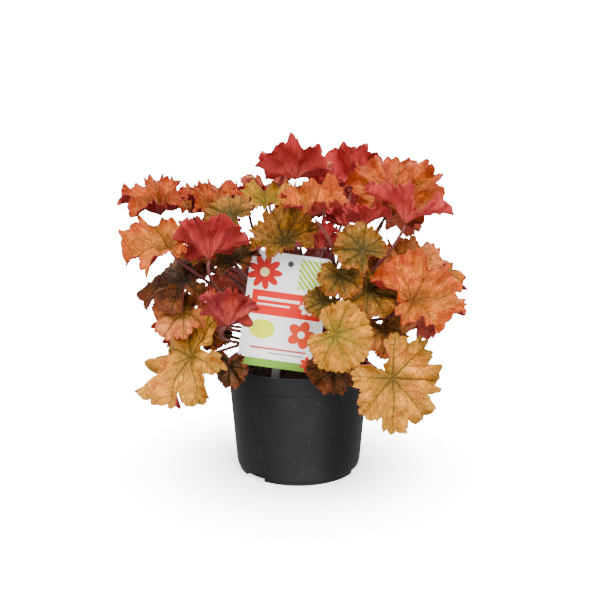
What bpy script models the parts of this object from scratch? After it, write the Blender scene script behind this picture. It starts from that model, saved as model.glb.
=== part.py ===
"""Heuchera in a black nursery pot: pot, soil, crown, one solid for each leaf with its stalk, label and label stake.

Metres, +Z up. The origin is the centre of the pot's base, on the surface that it stands on, and -Y is the front.
Driving sizes and the leaf table are in millimetres, and MM turns them to metres.
"""
import math
import random

import bmesh
import bpy
from mathutils import Matrix, Vector
from mathutils.bvhtree import BVHTree
from mathutils.geometry import delaunay_2d_cdt

MM = 0.001
GAP = 0.4                     # clearance between pieces that touch

# Pot: a 13 cm container
POT_SIDES = 32
POT_HEIGHT = 101.0
RIM_RADIUS = 65.0
BAND_BOTTOM = 85.5            # lower edge of the rim band
BODY_TOP_RADIUS = 64.2
BODY_FOOT_RADIUS = 57.7
WALL = 1.3
FOOT_RADIUS = 55.3            # foot ring under the body
FOOT_HEIGHT = 3.2
FOOT_WIDTH = 4.0
FOOT_NOTCHES = 3
NOTCH_WIDTH = 24.0
NOTCH_START = math.radians(224.0)
BASE_DISC_RADIUS = 27.0       # middle of the base, flush with the floor
CHANNEL_HEIGHT = 4.5          # raised drainage channel round it
DRAIN_HOLES = 6
DRAIN_RADIUS = 4.5
DRAIN_CIRCLE = 39.5

# Soil and crown
SOIL_SIDES = 24
SOIL_TOP = 89.0
CROWN_RADIUS = 31.0
CROWN_BOTTOM = 74.0
CROWN_EDGE = 91.0
CROWN_TOP = 101.0
SOCKET_RADIUS = 2.7
SOCKET_DEPTH = 5.0
SOCKET_SIDES = 5
SOCKET_CUT = 24.0             # length of the tool that cuts each socket
BASE_SPACING = 6.0            # between neighbouring stalks in the crown
SPREAD_ROUNDS = 200           # rounds of moving stalks apart until they stand that far from each other

# Leaf
BLADE = 0.8                   # thickness
STALK_RADIUS = 1.35
STALK_SIDES = 5
STALK_STEPS = 4
STALK_START = 0.03            # share of the stalk that lies within the blade's underside
INNER_RINGS = ((0.36, 4), (0.68, 9))      # rings of points within the blade: share of the way out, number
LOBE_STEP = math.radians(45.0)
LOBE_LENGTHS = (1.0, 0.95, 0.86, 0.72)    # middle lobe, then its neighbours down to the base
SINUS = 0.68                  # where two lobes part, as a share of their length
TOOTH = 0.075                 # depth of the teeth, as a share of the lobe
CLEAR_BLADE = 1.7             # thickness and stalk radius that neighbours are kept clear of
CLEAR_STALK = 1.9
CLEAR_POT = 1.5               # air that leaves are given round the pot's wall, and round the card and the stake
CLEAR_CARD = 1.0
# Ways for a leaf to give way to those placed before it, tried in turn: it gets smaller, its blade moves along the
# line of sight or sideways, and its stalk bows out
SHRINKS = (1.0, 0.93, 0.86, 0.78, 0.7, 0.6, 0.5)
DEPTH_SHIFTS = (0, -5, 5, -10, 10, -16, 16, -22, 22, -30, 30)
SIDE_SHIFTS = (0, -6, 6)
BOWS = (14, 28, 42)
BOW_TURNS = 8
VIEWER = Vector((0, -775, 312))

# Label: a card pegged to a stake behind it
CARD_WIDTH = 69.0
CARD_HEIGHT = 100.0
CARD_THICKNESS = 0.7
CARD_CORNER = 4.0
CARD_PEG_RADIUS = 2.1
CARD_HOLE_RADIUS = 2.6
CARD_HOLE_DROP = 8.5          # below the card's top edge
CARD_FOOT = Vector((-19.0, -52.5, 107.0))     # middle of its lower edge
CARD_LEAN = math.radians(1.5)                 # back from upright
CARD_TILT = math.radians(-8.0)                # clockwise, seen from the front
STAKE_WIDTH = 7.0
STAKE_THICKNESS = 1.6
STAKE_BOTTOM = -38.0          # along the card, below its lower edge
STAKE_DROP = 3.0              # of the stake's top below the card's
STAKE_BACK = CARD_THICKNESS + GAP + STAKE_THICKNESS / 2     # of its middle behind the card's face
PEG_REACH = 1.0               # how far the peg stands out of the card's face
SLOT_DEPTH = 60.0

# How a blade opens: its slope at the stalk and at the rim in degrees, how much lower its tip hangs,
# and the height of its ruffles as a share of its length
FORMS = {
    "cup": (46.0, 26.0, 4.0, 0.15),
    "fan": (30.0, 8.0, 10.0, 0.14),
    "flat": (14.0, -6.0, 10.0, 0.09),
    "arch": (20.0, -30.0, 20.0, 0.13),
}
# One row for each leaf. It gives where the stalk meets the blade (x, y, z), the middle lobe's length, where the
# upper face looks (degrees round from the front towards +X, then degrees from straight up), the blade's turn
# about that direction, and its form. The turn is 0 where the middle lobe points downhill.
LEAVES = (
    ("leaf_01", (76, -100, 112), 48, 18, 68, 38, "flat"),
    ("leaf_02", (95, -66, 167), 52, 20, 35, 95, "fan"),
    ("leaf_03", (-72, -84, 207), 42, 182, 40, 180, "cup"),
    ("leaf_04", (90, -52, 233), 52, 140, 18, 60, "cup"),
    ("leaf_10", (50, 62, 250), 53, 170, 50, 228, "fan"),
    ("leaf_05", (76, -14, 245), 54, 5, 50, 165, "fan"),
    ("leaf_06", (30, -92, 146), 34, 352, 68, 68, "flat"),
    ("leaf_07", (-11, -66, 218), 37, 352, 44, 205, "fan"),
    ("leaf_08", (-57, -100, 156), 34, 172, 50, 172, "cup"),
    ("leaf_09", (-3, 5, 266), 44, 176, 32, 192, "fan"),
    ("leaf_11", (5, -66, 240), 38, 355, 18, 165, "cup"),
    ("leaf_12", (-89, -72, 122), 54, 325, 46, 306, "arch"),
    ("leaf_17", (-98, -38, 180), 48, 345, 20, 272, "arch"),
    ("leaf_16", (-90, -60, 158), 34, 345, 36, 285, "arch"),
    ("leaf_46", (-61, -60, 140), 26, 345, 50, 320, "arch"),
    ("leaf_47", (-74, -50, 133), 25, 340, 55, 30, "flat"),
    ("leaf_13", (-120, -20, 236), 44, 345, 20, 250, "cup"),
    ("leaf_14", (-73, -4, 235), 38, 352, 26, 185, "cup"),
    ("leaf_15", (-102, -58, 211), 44, 350, 24, 262, "fan"),
    ("leaf_18", (52, -82, 213), 27, 10, 60, 215, "flat"),
    ("leaf_19", (94, -24, 188), 40, 15, 30, 140, "fan"),
    ("leaf_20", (129, 6, 184), 33, 40, 38, 80, "arch"),
    ("leaf_21", (73, -62, 144), 32, 20, 50, 30, "arch"),
    ("leaf_22", (21, -78, 171), 18, 355, 50, 300, "flat"),
    ("leaf_23", (35, -60, 112), 29, 30, 72, 0, "arch"),
    ("leaf_24", (52, -68, 178), 30, 10, 48, 30, "flat"),
    ("leaf_51", (36, -40, 186), 24, 5, 50, 10, "flat"),
    ("leaf_25", (65, -22, 226), 33, 190, 24, 180, "cup"),
    ("leaf_26", (-29, 0, 243), 32, 350, 26, 195, "fan"),
    ("leaf_27", (-56, -44, 237), 28, 340, 44, 250, "flat"),
    ("leaf_28", (-47, 36, 237), 33, 180, 16, 150, "cup"),
    ("leaf_29", (26, 45, 257), 32, 200, 12, 10, "fan"),
    ("leaf_30", (-3, -20, 234), 30, 0, 20, 190, "fan"),
    ("leaf_31", (46, -40, 228), 27, 200, 30, 150, "cup"),
    ("leaf_32", (-99, 34, 232), 36, 330, 18, 200, "cup"),
    ("leaf_33", (-58, -62, 111), 21, 330, 70, 0, "arch"),
    ("leaf_34", (-118, 34, 178), 38, 255, 44, 0, "arch"),
    ("leaf_35", (-84, 84, 208), 40, 222, 36, 10, "fan"),
    ("leaf_36", (-30, 78, 246), 38, 195, 26, 350, "cup"),
    ("leaf_37", (34, 102, 226), 40, 165, 36, 10, "fan"),
    ("leaf_38", (84, 72, 222), 40, 130, 36, 350, "fan"),
    ("leaf_39", (-66, 104, 158), 42, 212, 50, 355, "arch"),
    ("leaf_40", (2, 118, 176), 42, 182, 48, 8, "arch"),
    ("leaf_41", (72, 104, 160), 42, 145, 50, 0, "arch"),
    ("leaf_42", (112, 66, 132), 38, 118, 52, 5, "arch"),
    ("leaf_43", (-24, 92, 124), 36, 195, 54, 0, "flat"),
    ("leaf_44", (-104, 56, 124), 38, 240, 52, 5, "arch"),
    ("leaf_45", (-55, -45, 198), 27, 350, 45, 200, "fan"),
    ("leaf_48", (18, -28, 207), 28, 175, 40, 180, "cup"),
    ("leaf_49", (72, -36, 186), 27, 10, 40, 200, "fan"),
    ("leaf_50", (62, -12, 150), 22, 185, 35, 180, "cup"),
    ("leaf_52", (-88, -12, 199), 26, 350, 40, 250, "fan"),
)


def wrapped(angle):
    """The same angle between a half turn either way."""
    return (angle + math.pi) % math.tau - math.pi


def frame_of(facing, lean, turn):
    """Columns: across the blade, along its middle lobe, and out of its upper face."""
    facing, lean = math.radians(facing), math.radians(lean)
    outward = Vector((math.sin(facing), -math.cos(facing), 0.0))
    normal = outward * math.sin(lean) + Vector((0, 0, math.cos(lean)))
    downhill = outward * math.cos(lean) - Vector((0, 0, math.sin(lean)))
    along = Matrix.Rotation(math.radians(turn), 3, normal) @ downhill
    across = along.cross(normal)
    return Matrix((across, along, normal)).transposed()


class Leaf:
    """One leaf: a lobed, toothed and ruffled blade on a round stalk."""

    def __init__(self, name, joint, length, facing, lean, turn, form):
        self.name = name
        self.joint = Vector(joint)
        self.length = length
        self.axes = frame_of(facing, lean, turn)
        self.inner, self.rim, self.droop, self.ruffle = FORMS[form]
        draw = random.Random(name)
        self.lobes = [
            LOBE_LENGTHS[abs(k)] * draw.uniform(0.93, 1.07) for k in range(-3, 4)
        ]
        self.sinuses = [SINUS * draw.uniform(0.82, 1.18) for _ in range(8)]
        self.waves = [
            (2, draw.uniform(0.05, 0.12), draw.uniform(0, math.tau)),
            (3, draw.uniform(0.05, 0.10), draw.uniform(0, math.tau)),
            (5, draw.uniform(0.02, 0.06), draw.uniform(0, math.tau)),
        ]
        self.base = Vector((0, 0, 0))
        self.bow = Vector((0, 0, 0))
        self.home = self.joint.copy()
        self.seen = self.joint.y < 40

    def outline(self, angle):
        """Distance from the stalk to the edge at an angle from the middle lobe, as a share of its length."""
        lobe = max(-3, min(3, round(angle / LOBE_STEP)))
        u = (angle - lobe * LOBE_STEP) / (LOBE_STEP / 2)
        size = self.lobes[lobe + 3]
        if abs(u) > 1:        # the notch at the leaf's base
            edge = size * self.sinuses[0]
            return edge + (0.16 - edge) * min(1.0, abs(u) - 1) ** 0.7
        beside = lobe + (1 if u > 0 else -1)
        near = self.lobes[max(0, min(6, beside + 3))]
        depth = self.sinuses[lobe + 3 + (1 if u > 0 else 0)]
        sinus = depth * (size + near) / 2 if abs(beside) < 4 else size * self.sinuses[0]
        teeth = 1.5 if abs(lobe) < 3 else 1.0
        tooth = abs(math.cos(math.pi * teeth * u)) ** 0.8
        return sinus + (size - sinus) * (1 - abs(u) ** 3) + size * TOOTH * (tooth - 0.5)

    def surface(self, angle, share):
        """A point of the blade's middle surface, in the leaf's own axes, at an angle and a share of the way out."""
        reach = share * self.outline(angle)
        start = math.radians(self.inner)
        bend = math.radians(self.rim - self.inner - self.droop * math.cos(angle))
        slope = start + bend * reach
        if abs(bend) < 1e-4:
            out, up = reach * math.cos(start), reach * math.sin(start)
        else:
            out = (math.sin(slope) - math.sin(start)) / bend
            up = (math.cos(start) - math.cos(slope)) / bend
        fold = -self.ruffle * math.cos(angle * math.tau / LOBE_STEP) * reach ** 1.6
        sway = sum(size * math.sin(n * angle + turn) for n, size, turn in self.waves) * reach ** 1.8
        lift = fold + sway
        out -= lift * math.sin(slope)
        up += lift * math.cos(slope)
        return Vector((out * math.sin(angle), out * math.cos(angle), up)) * self.length

    def edge_angles(self):
        """Where the edge turns: each tooth's tip, the dips between them, and the notch at the leaf's base."""
        half = LOBE_STEP / 2
        angles = [k * LOBE_STEP + half * step / 3 for k in range(-2, 3) for step in range(-3, 3)]
        for side in (-1, 1):
            angles += [side * (3 * LOBE_STEP + half * step) for step in (-0.5, 0, 0.5, 1)]
        return sorted(angles + [2.5 * LOBE_STEP, math.pi])

    def stalk_path(self):
        """Points down the stalk in millimetres, from the blade to the crown."""
        top = self.joint
        foot = self.base + Vector((0, 0, SOCKET_DEPTH + 1.5))
        reach = (top - foot).length
        low = 1 - min(1.0, (top.z - foot.z) / 60)
        end = self.axes.col[2] * 0.75 + (top - foot).normalized() * 0.6
        end.z *= 1 - low
        end.normalize()
        rise = foot + Vector((0, 0, reach * (0.36 + 0.25 * low))) + self.bow * 0.4
        arrive = top - end * reach * 0.30 + self.bow
        points = []
        for i in range(STALK_STEPS):
            t = STALK_START + (1 - STALK_START) * i / (STALK_STEPS - 1)
            a, b, c, d = t ** 3, 3 * t * t * (1 - t), 3 * t * (1 - t) ** 2, (1 - t) ** 3
            points.append(a * foot + b * rise + c * arrive + d * top)
        return points + [self.base.copy()], end

    def blade(self, thickness):
        """A bmesh of the solid blade in millimetres, and the ring of underside points that the stalk grows from."""
        angles = self.edge_angles()
        hub = STALK_RADIUS / self.length
        flat = [(a, 1.0) for a in angles]
        inside = [(wrapped(math.tau * i / n), share) for share, n in INNER_RINGS for i in range(n)]
        flat += [(a, s) for a, s in inside if s * self.outline(a) > 2.5 * hub]
        plan = [Vector((math.sin(a), math.cos(a))) * s * self.outline(a) for a, s in flat]
        hub_angles = [math.tau * i / STALK_SIDES for i in range(STALK_SIDES)]
        plan += [Vector((math.sin(a), math.cos(a))) * hub for a in hub_angles]
        edge = [(i, (i + 1) % len(angles)) for i in range(len(angles))]
        _, _, faces, _, _, _ = delaunay_2d_cdt(plan, edge, [], 1, 1e-5)
        bm = bmesh.new()
        for a, s in flat:
            bm.verts.new(self.surface(a, s))
        for a in hub_angles:
            bm.verts.new(self.surface(a, hub / self.outline(wrapped(a))))
        bm.verts.ensure_lookup_table()
        for face in faces:
            bm.faces.new([bm.verts[i] for i in face])
        bmesh.ops.recalc_face_normals(bm, faces=bm.faces[:])
        if sum((f.normal.z * f.calc_area() for f in bm.faces)) < 0:
            bmesh.ops.reverse_faces(bm, faces=bm.faces[:])
        bm.normal_update()
        upper = bm.verts[:]
        normals = [v.normal.copy() for v in upper]
        size = len(upper)
        lower = [bm.verts.new(v.co - n * thickness) for v, n in zip(upper, normals)]
        below = {v: w for v, w in zip(upper, lower)}
        rim = [e for e in bm.edges if e.is_boundary]
        walls = [(e.link_loops[0].vert, e.link_loops[0].link_loop_next.vert) for e in rim]
        for f in bm.faces[:]:
            bm.faces.new([below[v] for v in reversed(f.verts)])
        for a, b in walls:
            bm.faces.new([b, a, below[a], below[b]])
        return bm, lower[size - STALK_SIDES:]

    def place(self):
        """Turns the leaf's own axes to the plant's."""
        return Matrix.Translation(self.joint) @ self.axes.to_4x4()

    def solid(self, thickness, radius):
        """The whole leaf as a bmesh in millimetres, in the plant's axes."""
        bm, ring = self.blade(thickness)
        bmesh.ops.transform(bm, matrix=self.place(), verts=bm.verts[:])
        bmesh.ops.delete(bm, geom=[f for f in bm.faces if all(v in ring for v in f.verts)], context="FACES")
        path, end = self.stalk_path()
        spoke = self.axes.col[1].copy()
        ahead = -self.axes.col[2]
        for i, point in enumerate(path):
            turned_to = -end if i == 0 else path[min(i + 1, len(path) - 1)] - path[i - 1]
            if i >= len(path) - 2:
                turned_to = Vector((0, 0, -1))
            spoke.rotate(ahead.rotation_difference(turned_to))
            ahead = turned_to.normalized()
            side = ahead.cross(spoke)
            thick = radius * (1.0 + 0.2 * i / len(path))
            below = []
            for j in range(STALK_SIDES):
                a = math.tau * j / STALK_SIDES
                below.append(bm.verts.new(point + thick * (math.cos(a) * spoke + math.sin(a) * side)))
            for j in range(STALK_SIDES):
                k = (j + 1) % STALK_SIDES
                bm.faces.new([ring[j], ring[k], below[k], below[j]]).tag = True
            ring = below
        bm.faces.new(ring)
        bmesh.ops.recalc_face_normals(bm, faces=bm.faces[:])
        return bm


def crown_height(radius):
    """Height of the crown's surface at a distance from its middle."""
    share = min(1.0, radius / CROWN_RADIUS)
    return CROWN_EDGE + (CROWN_TOP - CROWN_EDGE) * (1 - share * share)


def seat_stalks(leaves):
    """Gives each stalk its place in the crown: outer and lower leaves stand nearer its edge."""
    order = sorted(leaves, key=lambda leaf: leaf.joint.z - 0.8 * leaf.joint.xy.length, reverse=True)
    limit = CROWN_RADIUS - SOCKET_RADIUS - 1.0
    spots = []
    for i, leaf in enumerate(order):
        aim = leaf.joint.xy.copy()
        if aim.y < CARD_FOOT.y:
            aim.x += math.copysign(70, aim.x - CARD_FOOT.x)
        spots.append(aim.normalized() * limit * math.sqrt((i + 0.6) / len(order)))
    for _ in range(SPREAD_ROUNDS):
        for i, a in enumerate(spots):
            for b in spots[:i]:
                apart = a - b
                short = BASE_SPACING * 1.04 - apart.length
                if short > 0:
                    move = apart.normalized() * short * 0.5
                    a += move
                    b -= move
        for spot in spots:
            if spot.length > limit:
                spot.length = limit
    for leaf, spot in zip(order, spots):
        leaf.base = Vector((spot.x, spot.y, crown_height(spot.length) - SOCKET_DEPTH))


def tree_of(bm):
    """A search tree of a bmesh with its lowest and highest corners, and frees the bmesh."""
    bm.normal_update()
    tree = BVHTree.FromBMesh(bm)
    points = [v.co for v in bm.verts]
    low = [min(p[i] for p in points) for i in range(3)]
    high = [max(p[i] for p in points) for i in range(3)]
    bm.free()
    return tree, low, high


def meets(one, other):
    """Whether two shapes from tree_of cross."""
    near = all(one[1][i] <= other[2][i] and other[1][i] <= one[2][i] for i in range(3))
    return near and bool(one[0].overlap(other[0]))


def ways(leaf):
    """Each shift of the leaf's blade that may be tried, with how much smaller it is then."""
    sight = (VIEWER - leaf.home).normalized() if leaf.seen else leaf.home.normalized()
    aside = sight.cross(Vector((0, 0, 1))).normalized()
    for shrink in SHRINKS:
        for side in SIDE_SHIFTS:
            for depth in DEPTH_SHIFTS:
                yield shrink, sight * -depth + aside * side


def bows():
    """Each bow of a stalk that may be tried."""
    yield Vector()
    for size in BOWS:
        for i in range(BOW_TURNS):
            turn = math.tau * i / BOW_TURNS
            yield Vector((math.cos(turn), math.sin(turn), 0)) * size
        yield Vector((0, 0, size))


def place(leaf, standing):
    """Puts the leaf where neither its blade nor its stalk crosses what stands already."""
    full = leaf.length
    for shrink, shift in ways(leaf):
        leaf.length = full * shrink
        leaf.joint = leaf.home + shift
        leaf.bow = Vector()
        blade, _ = leaf.blade(CLEAR_BLADE)
        bmesh.ops.transform(blade, matrix=leaf.place(), verts=blade.verts[:])
        blade = tree_of(blade)
        if any(meets(blade, other) for other in standing):
            continue
        for leaf.bow in bows():
            whole = tree_of(leaf.solid(CLEAR_BLADE, CLEAR_STALK))
            if not any(meets(whole, other) for other in standing):
                standing.append(whole)
                return
    print("no clear place for", leaf.name)


def material(name, colour, roughness):
    """A Principled material of one colour, given as sRGB hex."""
    made = bpy.data.materials.new(name)
    made.use_nodes = True
    shader = made.node_tree.nodes["Principled BSDF"]
    parts = [int(colour[i:i + 2], 16) / 255 for i in (0, 2, 4)]
    linear = [p / 12.92 if p <= 0.04045 else ((p + 0.055) / 1.055) ** 2.4 for p in parts]
    shader.inputs["Base Color"].default_value = (*linear, 1)
    shader.inputs["Roughness"].default_value = roughness
    made.diffuse_color = (*linear, 1)
    return made


def new_object(name, mesh, collection, finish=None):
    made = bpy.data.objects.new(name, mesh)
    collection.objects.link(made)
    if finish:
        mesh.materials.append(finish)
    return made


def mesh_of(bm, name):
    """Turns a bmesh in millimetres into a mesh in metres."""
    bmesh.ops.scale(bm, vec=(MM, MM, MM), verts=bm.verts[:])
    bm.normal_update()
    mesh = bpy.data.meshes.new(name)
    bm.to_mesh(mesh)
    bm.free()
    return mesh


def turned(name, profile, sides, collection, finish):
    """A body turned from a profile of (radius, height) points in millimetres that starts and ends on the axis."""
    mesh = bpy.data.meshes.new(name)
    points = [(r * MM, 0, z * MM) for r, z in profile]
    mesh.from_pydata(points, [(i, i + 1) for i in range(len(points) - 1)], [])
    made = new_object(name, mesh, collection, finish)
    screw = made.modifiers.new("turn", "SCREW")
    screw.steps = screw.render_steps = sides
    screw.use_merge_vertices = True
    screw.merge_threshold = 0.00001
    screw.use_smooth_shade = False
    return made


def cut(target, cutter, name, operation="DIFFERENCE"):
    """Takes a cutter from a body, or joins it with UNION."""
    cutter.hide_render = True
    cutter.display_type = "WIRE"
    boolean = target.modifiers.new(name, "BOOLEAN")
    boolean.operation = operation
    boolean.solver = "EXACT"
    boolean.object = cutter


def cylinders(name, places, radius, depth, sides, collection):
    """One cutter mesh of upright cylinders that stand on the given places."""
    bm = bmesh.new()
    for place in places:
        bmesh.ops.create_cone(
            bm, cap_ends=True, segments=sides, radius1=radius, radius2=radius, depth=depth,
            matrix=Matrix.Translation(Vector(place) + Vector((0, 0, depth / 2))),
        )
    return new_object(name, mesh_of(bm, name), collection)


def build_pot(parts, cutters):
    """Thin-walled tapered pot with a rim band, a raised drainage channel, drain holes and a notched foot ring."""
    inner_foot = FOOT_RADIUS - FOOT_WIDTH
    profile = [
        (0, WALL), (BASE_DISC_RADIUS, WALL), (BASE_DISC_RADIUS + 2, CHANNEL_HEIGHT + WALL),
        (BODY_FOOT_RADIUS - 3, CHANNEL_HEIGHT + WALL),
        (BODY_TOP_RADIUS - WALL, BAND_BOTTOM), (RIM_RADIUS - WALL, POT_HEIGHT),
        (RIM_RADIUS, POT_HEIGHT), (RIM_RADIUS, BAND_BOTTOM), (BODY_TOP_RADIUS, BAND_BOTTOM - 1.2),
        (BODY_FOOT_RADIUS, 8.0), (BODY_FOOT_RADIUS - 0.9, FOOT_HEIGHT + 0.8), (FOOT_RADIUS, FOOT_HEIGHT),
        (FOOT_RADIUS, 0), (inner_foot, 0), (inner_foot - 1, CHANNEL_HEIGHT),
        (BASE_DISC_RADIUS + 3, CHANNEL_HEIGHT), (BASE_DISC_RADIUS + 0.5, 0), (0, 0),
    ]
    pot = turned("pot", profile, POT_SIDES, parts, material("black_polypropylene", "1E1F22", 0.45))
    ring = [i * math.tau / DRAIN_HOLES for i in range(DRAIN_HOLES)]
    places = [(DRAIN_CIRCLE * math.cos(a), DRAIN_CIRCLE * math.sin(a), -2) for a in ring]
    cut(pot, cylinders("drain_cutter", places, DRAIN_RADIUS, 14, 8, cutters), "drains")
    bm = bmesh.new()
    for i in range(FOOT_NOTCHES):
        turn = Matrix.Rotation(NOTCH_START + i * math.tau / FOOT_NOTCHES, 4, "Z")
        place = Matrix.Translation((FOOT_RADIUS - FOOT_WIDTH / 2, 0, 0))
        size = Matrix.Diagonal((FOOT_WIDTH + 4, NOTCH_WIDTH, 2 * (FOOT_HEIGHT - 0.4), 1))
        bmesh.ops.create_cube(bm, size=1.0, matrix=turn @ place @ size)
    cut(pot, new_object("notch_cutter", mesh_of(bm, "notch_cutter"), cutters), "notches")


def card_matrix():
    """Places the card's own plane: X across, Z up the card, -Y out of its printed face."""
    return (
        Matrix.Translation(CARD_FOOT)
        @ Matrix.Rotation(-CARD_LEAN, 4, "X")
        @ Matrix.Rotation(-CARD_TILT, 4, "Y")
    )


def wall_inside(height):
    """Radius that soil may reach within the pot's wall at a height."""
    return BODY_FOOT_RADIUS + (BODY_TOP_RADIUS - BODY_FOOT_RADIUS) * height / BAND_BOTTOM - WALL - GAP


def build_soil(parts, cutters):
    """Potting soil that fills the pot, with a plain pit for the crown and a slot for the stake."""
    floor = CHANNEL_HEIGHT + WALL + GAP
    pit = CROWN_RADIUS + GAP
    edge = wall_inside(SOIL_TOP)
    profile = [
        (0, CROWN_BOTTOM - GAP), (pit, CROWN_BOTTOM - GAP), (pit, SOIL_TOP + 1.5),
        (45, SOIL_TOP), (edge - 1.5, SOIL_TOP - 1.0), (edge - 1.0, SOIL_TOP - 2.0),
        (wall_inside(floor) - 3.2, floor), (0, floor),
    ]
    soil = turned("soil", profile, SOIL_SIDES, parts, material("peat_soil", "33261D", 0.95))
    bm = bmesh.new()
    size = Matrix.Diagonal((STAKE_WIDTH + 2 * GAP, STAKE_THICKNESS + 2 * GAP, SLOT_DEPTH, 1))
    top = Matrix.Translation((0, STAKE_BACK, STAKE_BOTTOM + SLOT_DEPTH / 2 - GAP))
    bmesh.ops.create_cube(bm, size=1.0, matrix=card_matrix() @ top @ size)
    cut(soil, new_object("slot_cutter", mesh_of(bm, "slot_cutter"), cutters), "stake_slot")


def build_crown(parts, cutters, leaves):
    """The woody crown, a low mound with a plain socket for each stalk."""
    profile = [(0, CROWN_TOP)]
    profile += [(CROWN_RADIUS * s, crown_height(CROWN_RADIUS * s)) for s in (0.35, 0.65, 0.88)]
    profile += [
        (CROWN_RADIUS, CROWN_EDGE - 0.8), (CROWN_RADIUS, CROWN_BOTTOM + 4), (CROWN_RADIUS - 8, CROWN_BOTTOM),
        (0, CROWN_BOTTOM),
    ]
    crown = turned("crown", profile, 24, parts, material("woody_crown", "4A2A20", 0.8))
    sockets = [leaf.base - Vector((0, 0, GAP)) for leaf in leaves]
    cut(crown, cylinders("socket_cutter", sockets, SOCKET_RADIUS, SOCKET_CUT, SOCKET_SIDES, cutters), "sockets")


def card_bmesh(thickness, grow=0.0):
    """The card's rounded outline, extruded, with the peg's hole."""
    bm = bmesh.new()
    half = CARD_WIDTH / 2 + grow
    outline = []
    for x, z, start in (
        (half, CARD_HEIGHT + grow, 0), (-half, CARD_HEIGHT + grow, 90), (-half, -grow, 180), (half, -grow, 270)
    ):
        centre = Vector((x - math.copysign(CARD_CORNER, x), 0, z - (CARD_CORNER if z > 0 else -CARD_CORNER)))
        for step in range(4):
            a = math.radians(start + 30 * step)
            outline.append(bm.verts.new(centre + CARD_CORNER * Vector((math.cos(a), 0, math.sin(a)))))
    face = bm.faces.new(outline)
    made = bmesh.ops.extrude_face_region(bm, geom=[face])
    moved = [g for g in made["geom"] if isinstance(g, bmesh.types.BMVert)]
    bmesh.ops.translate(bm, verts=moved, vec=(0, thickness, 0))
    bmesh.ops.recalc_face_normals(bm, faces=bm.faces[:])
    return bm


def build_label(parts, cutters):
    """The printed card, and the stake behind it whose peg holds it."""
    bm = card_bmesh(CARD_THICKNESS)
    bmesh.ops.transform(bm, matrix=card_matrix(), verts=bm.verts[:])
    card = new_object("label_card", mesh_of(bm, "label_card"), parts, material("label_card", "F4F2EE", 0.35))
    forward = Matrix.Rotation(math.radians(90), 4, "X")
    peg_place = Matrix.Translation((0, 0, CARD_HEIGHT - CARD_HOLE_DROP)) @ forward
    bm = bmesh.new()
    bmesh.ops.create_cone(
        bm, cap_ends=True, segments=12, radius1=CARD_HOLE_RADIUS, radius2=CARD_HOLE_RADIUS, depth=6,
        matrix=card_matrix() @ peg_place,
    )
    cut(card, new_object("hole_cutter", mesh_of(bm, "hole_cutter"), cutters), "hole")

    bm = bmesh.new()
    top = CARD_HEIGHT - STAKE_DROP
    middle = Matrix.Translation((0, STAKE_BACK, (top + STAKE_BOTTOM) / 2))
    size = Matrix.Diagonal((STAKE_WIDTH, STAKE_THICKNESS, top - STAKE_BOTTOM, 1))
    bmesh.ops.create_cube(bm, size=1.0, matrix=card_matrix() @ middle @ size)
    finish = material("stake_plastic", "8E8A88", 0.4)
    stake = new_object("label_stake", mesh_of(bm, "label_stake"), parts, finish)
    bm = bmesh.new()
    depth = CARD_THICKNESS + GAP + PEG_REACH
    peg = Matrix.Translation((0, CARD_THICKNESS + GAP + 0.5 - depth / 2, 0))
    bmesh.ops.create_cone(
        bm, cap_ends=True, segments=12, radius1=CARD_PEG_RADIUS, radius2=CARD_PEG_RADIUS, depth=depth,
        matrix=card_matrix() @ peg @ peg_place,
    )
    cut(stake, new_object("peg_shape", mesh_of(bm, "peg_shape"), cutters), "peg", "UNION")


def plain_solids():
    """Shapes that the leaves are kept clear of: the pot's wall, the card and the stake."""
    bm = bmesh.new()
    height = POT_HEIGHT + CLEAR_POT
    for offset in (CLEAR_POT, -WALL - CLEAR_POT):
        bmesh.ops.create_cone(
            bm, cap_ends=False, segments=POT_SIDES, radius1=BODY_FOOT_RADIUS + offset, radius2=RIM_RADIUS + offset,
            depth=height, matrix=Matrix.Translation((0, 0, height / 2)),
        )
    found = [tree_of(bm)]
    bm = card_bmesh(CARD_THICKNESS + 2 * CLEAR_CARD, CLEAR_CARD)
    bmesh.ops.translate(bm, verts=bm.verts[:], vec=(0, -CLEAR_CARD, 0))
    bmesh.ops.transform(bm, matrix=card_matrix(), verts=bm.verts[:])
    found.append(tree_of(bm))
    bm = bmesh.new()
    middle = Matrix.Translation((0, STAKE_BACK, (CARD_HEIGHT + STAKE_BOTTOM) / 2))
    spread = 2 * CLEAR_CARD
    size = Matrix.Diagonal((STAKE_WIDTH + spread, STAKE_THICKNESS + spread, CARD_HEIGHT - STAKE_BOTTOM, 1))
    bmesh.ops.create_cube(bm, size=1.0, matrix=card_matrix() @ middle @ size)
    found.append(tree_of(bm))
    return found


def build_leaves(parts, leaves):
    finish = material("leaf_tissue", "C8692E", 0.5)
    for leaf in leaves:
        bm = leaf.solid(BLADE, STALK_RADIUS)
        new_object(leaf.name, mesh_of(bm, leaf.name), parts, finish)


def main():
    for old in list(bpy.data.objects):
        bpy.data.objects.remove(old, do_unlink=True)
    parts = bpy.data.collections.new("potted_heuchera")
    cutters = bpy.data.collections.new("cutters")
    bpy.context.scene.collection.children.link(parts)
    bpy.context.scene.collection.children.link(cutters)
    leaves = [Leaf(*row) for row in LEAVES]
    seat_stalks(leaves)
    standing = plain_solids()
    for leaf in leaves:
        place(leaf, standing)
    build_pot(parts, cutters)
    build_soil(parts, cutters)
    build_crown(parts, cutters, leaves)
    build_label(parts, cutters)
    build_leaves(parts, leaves)


main()
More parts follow.
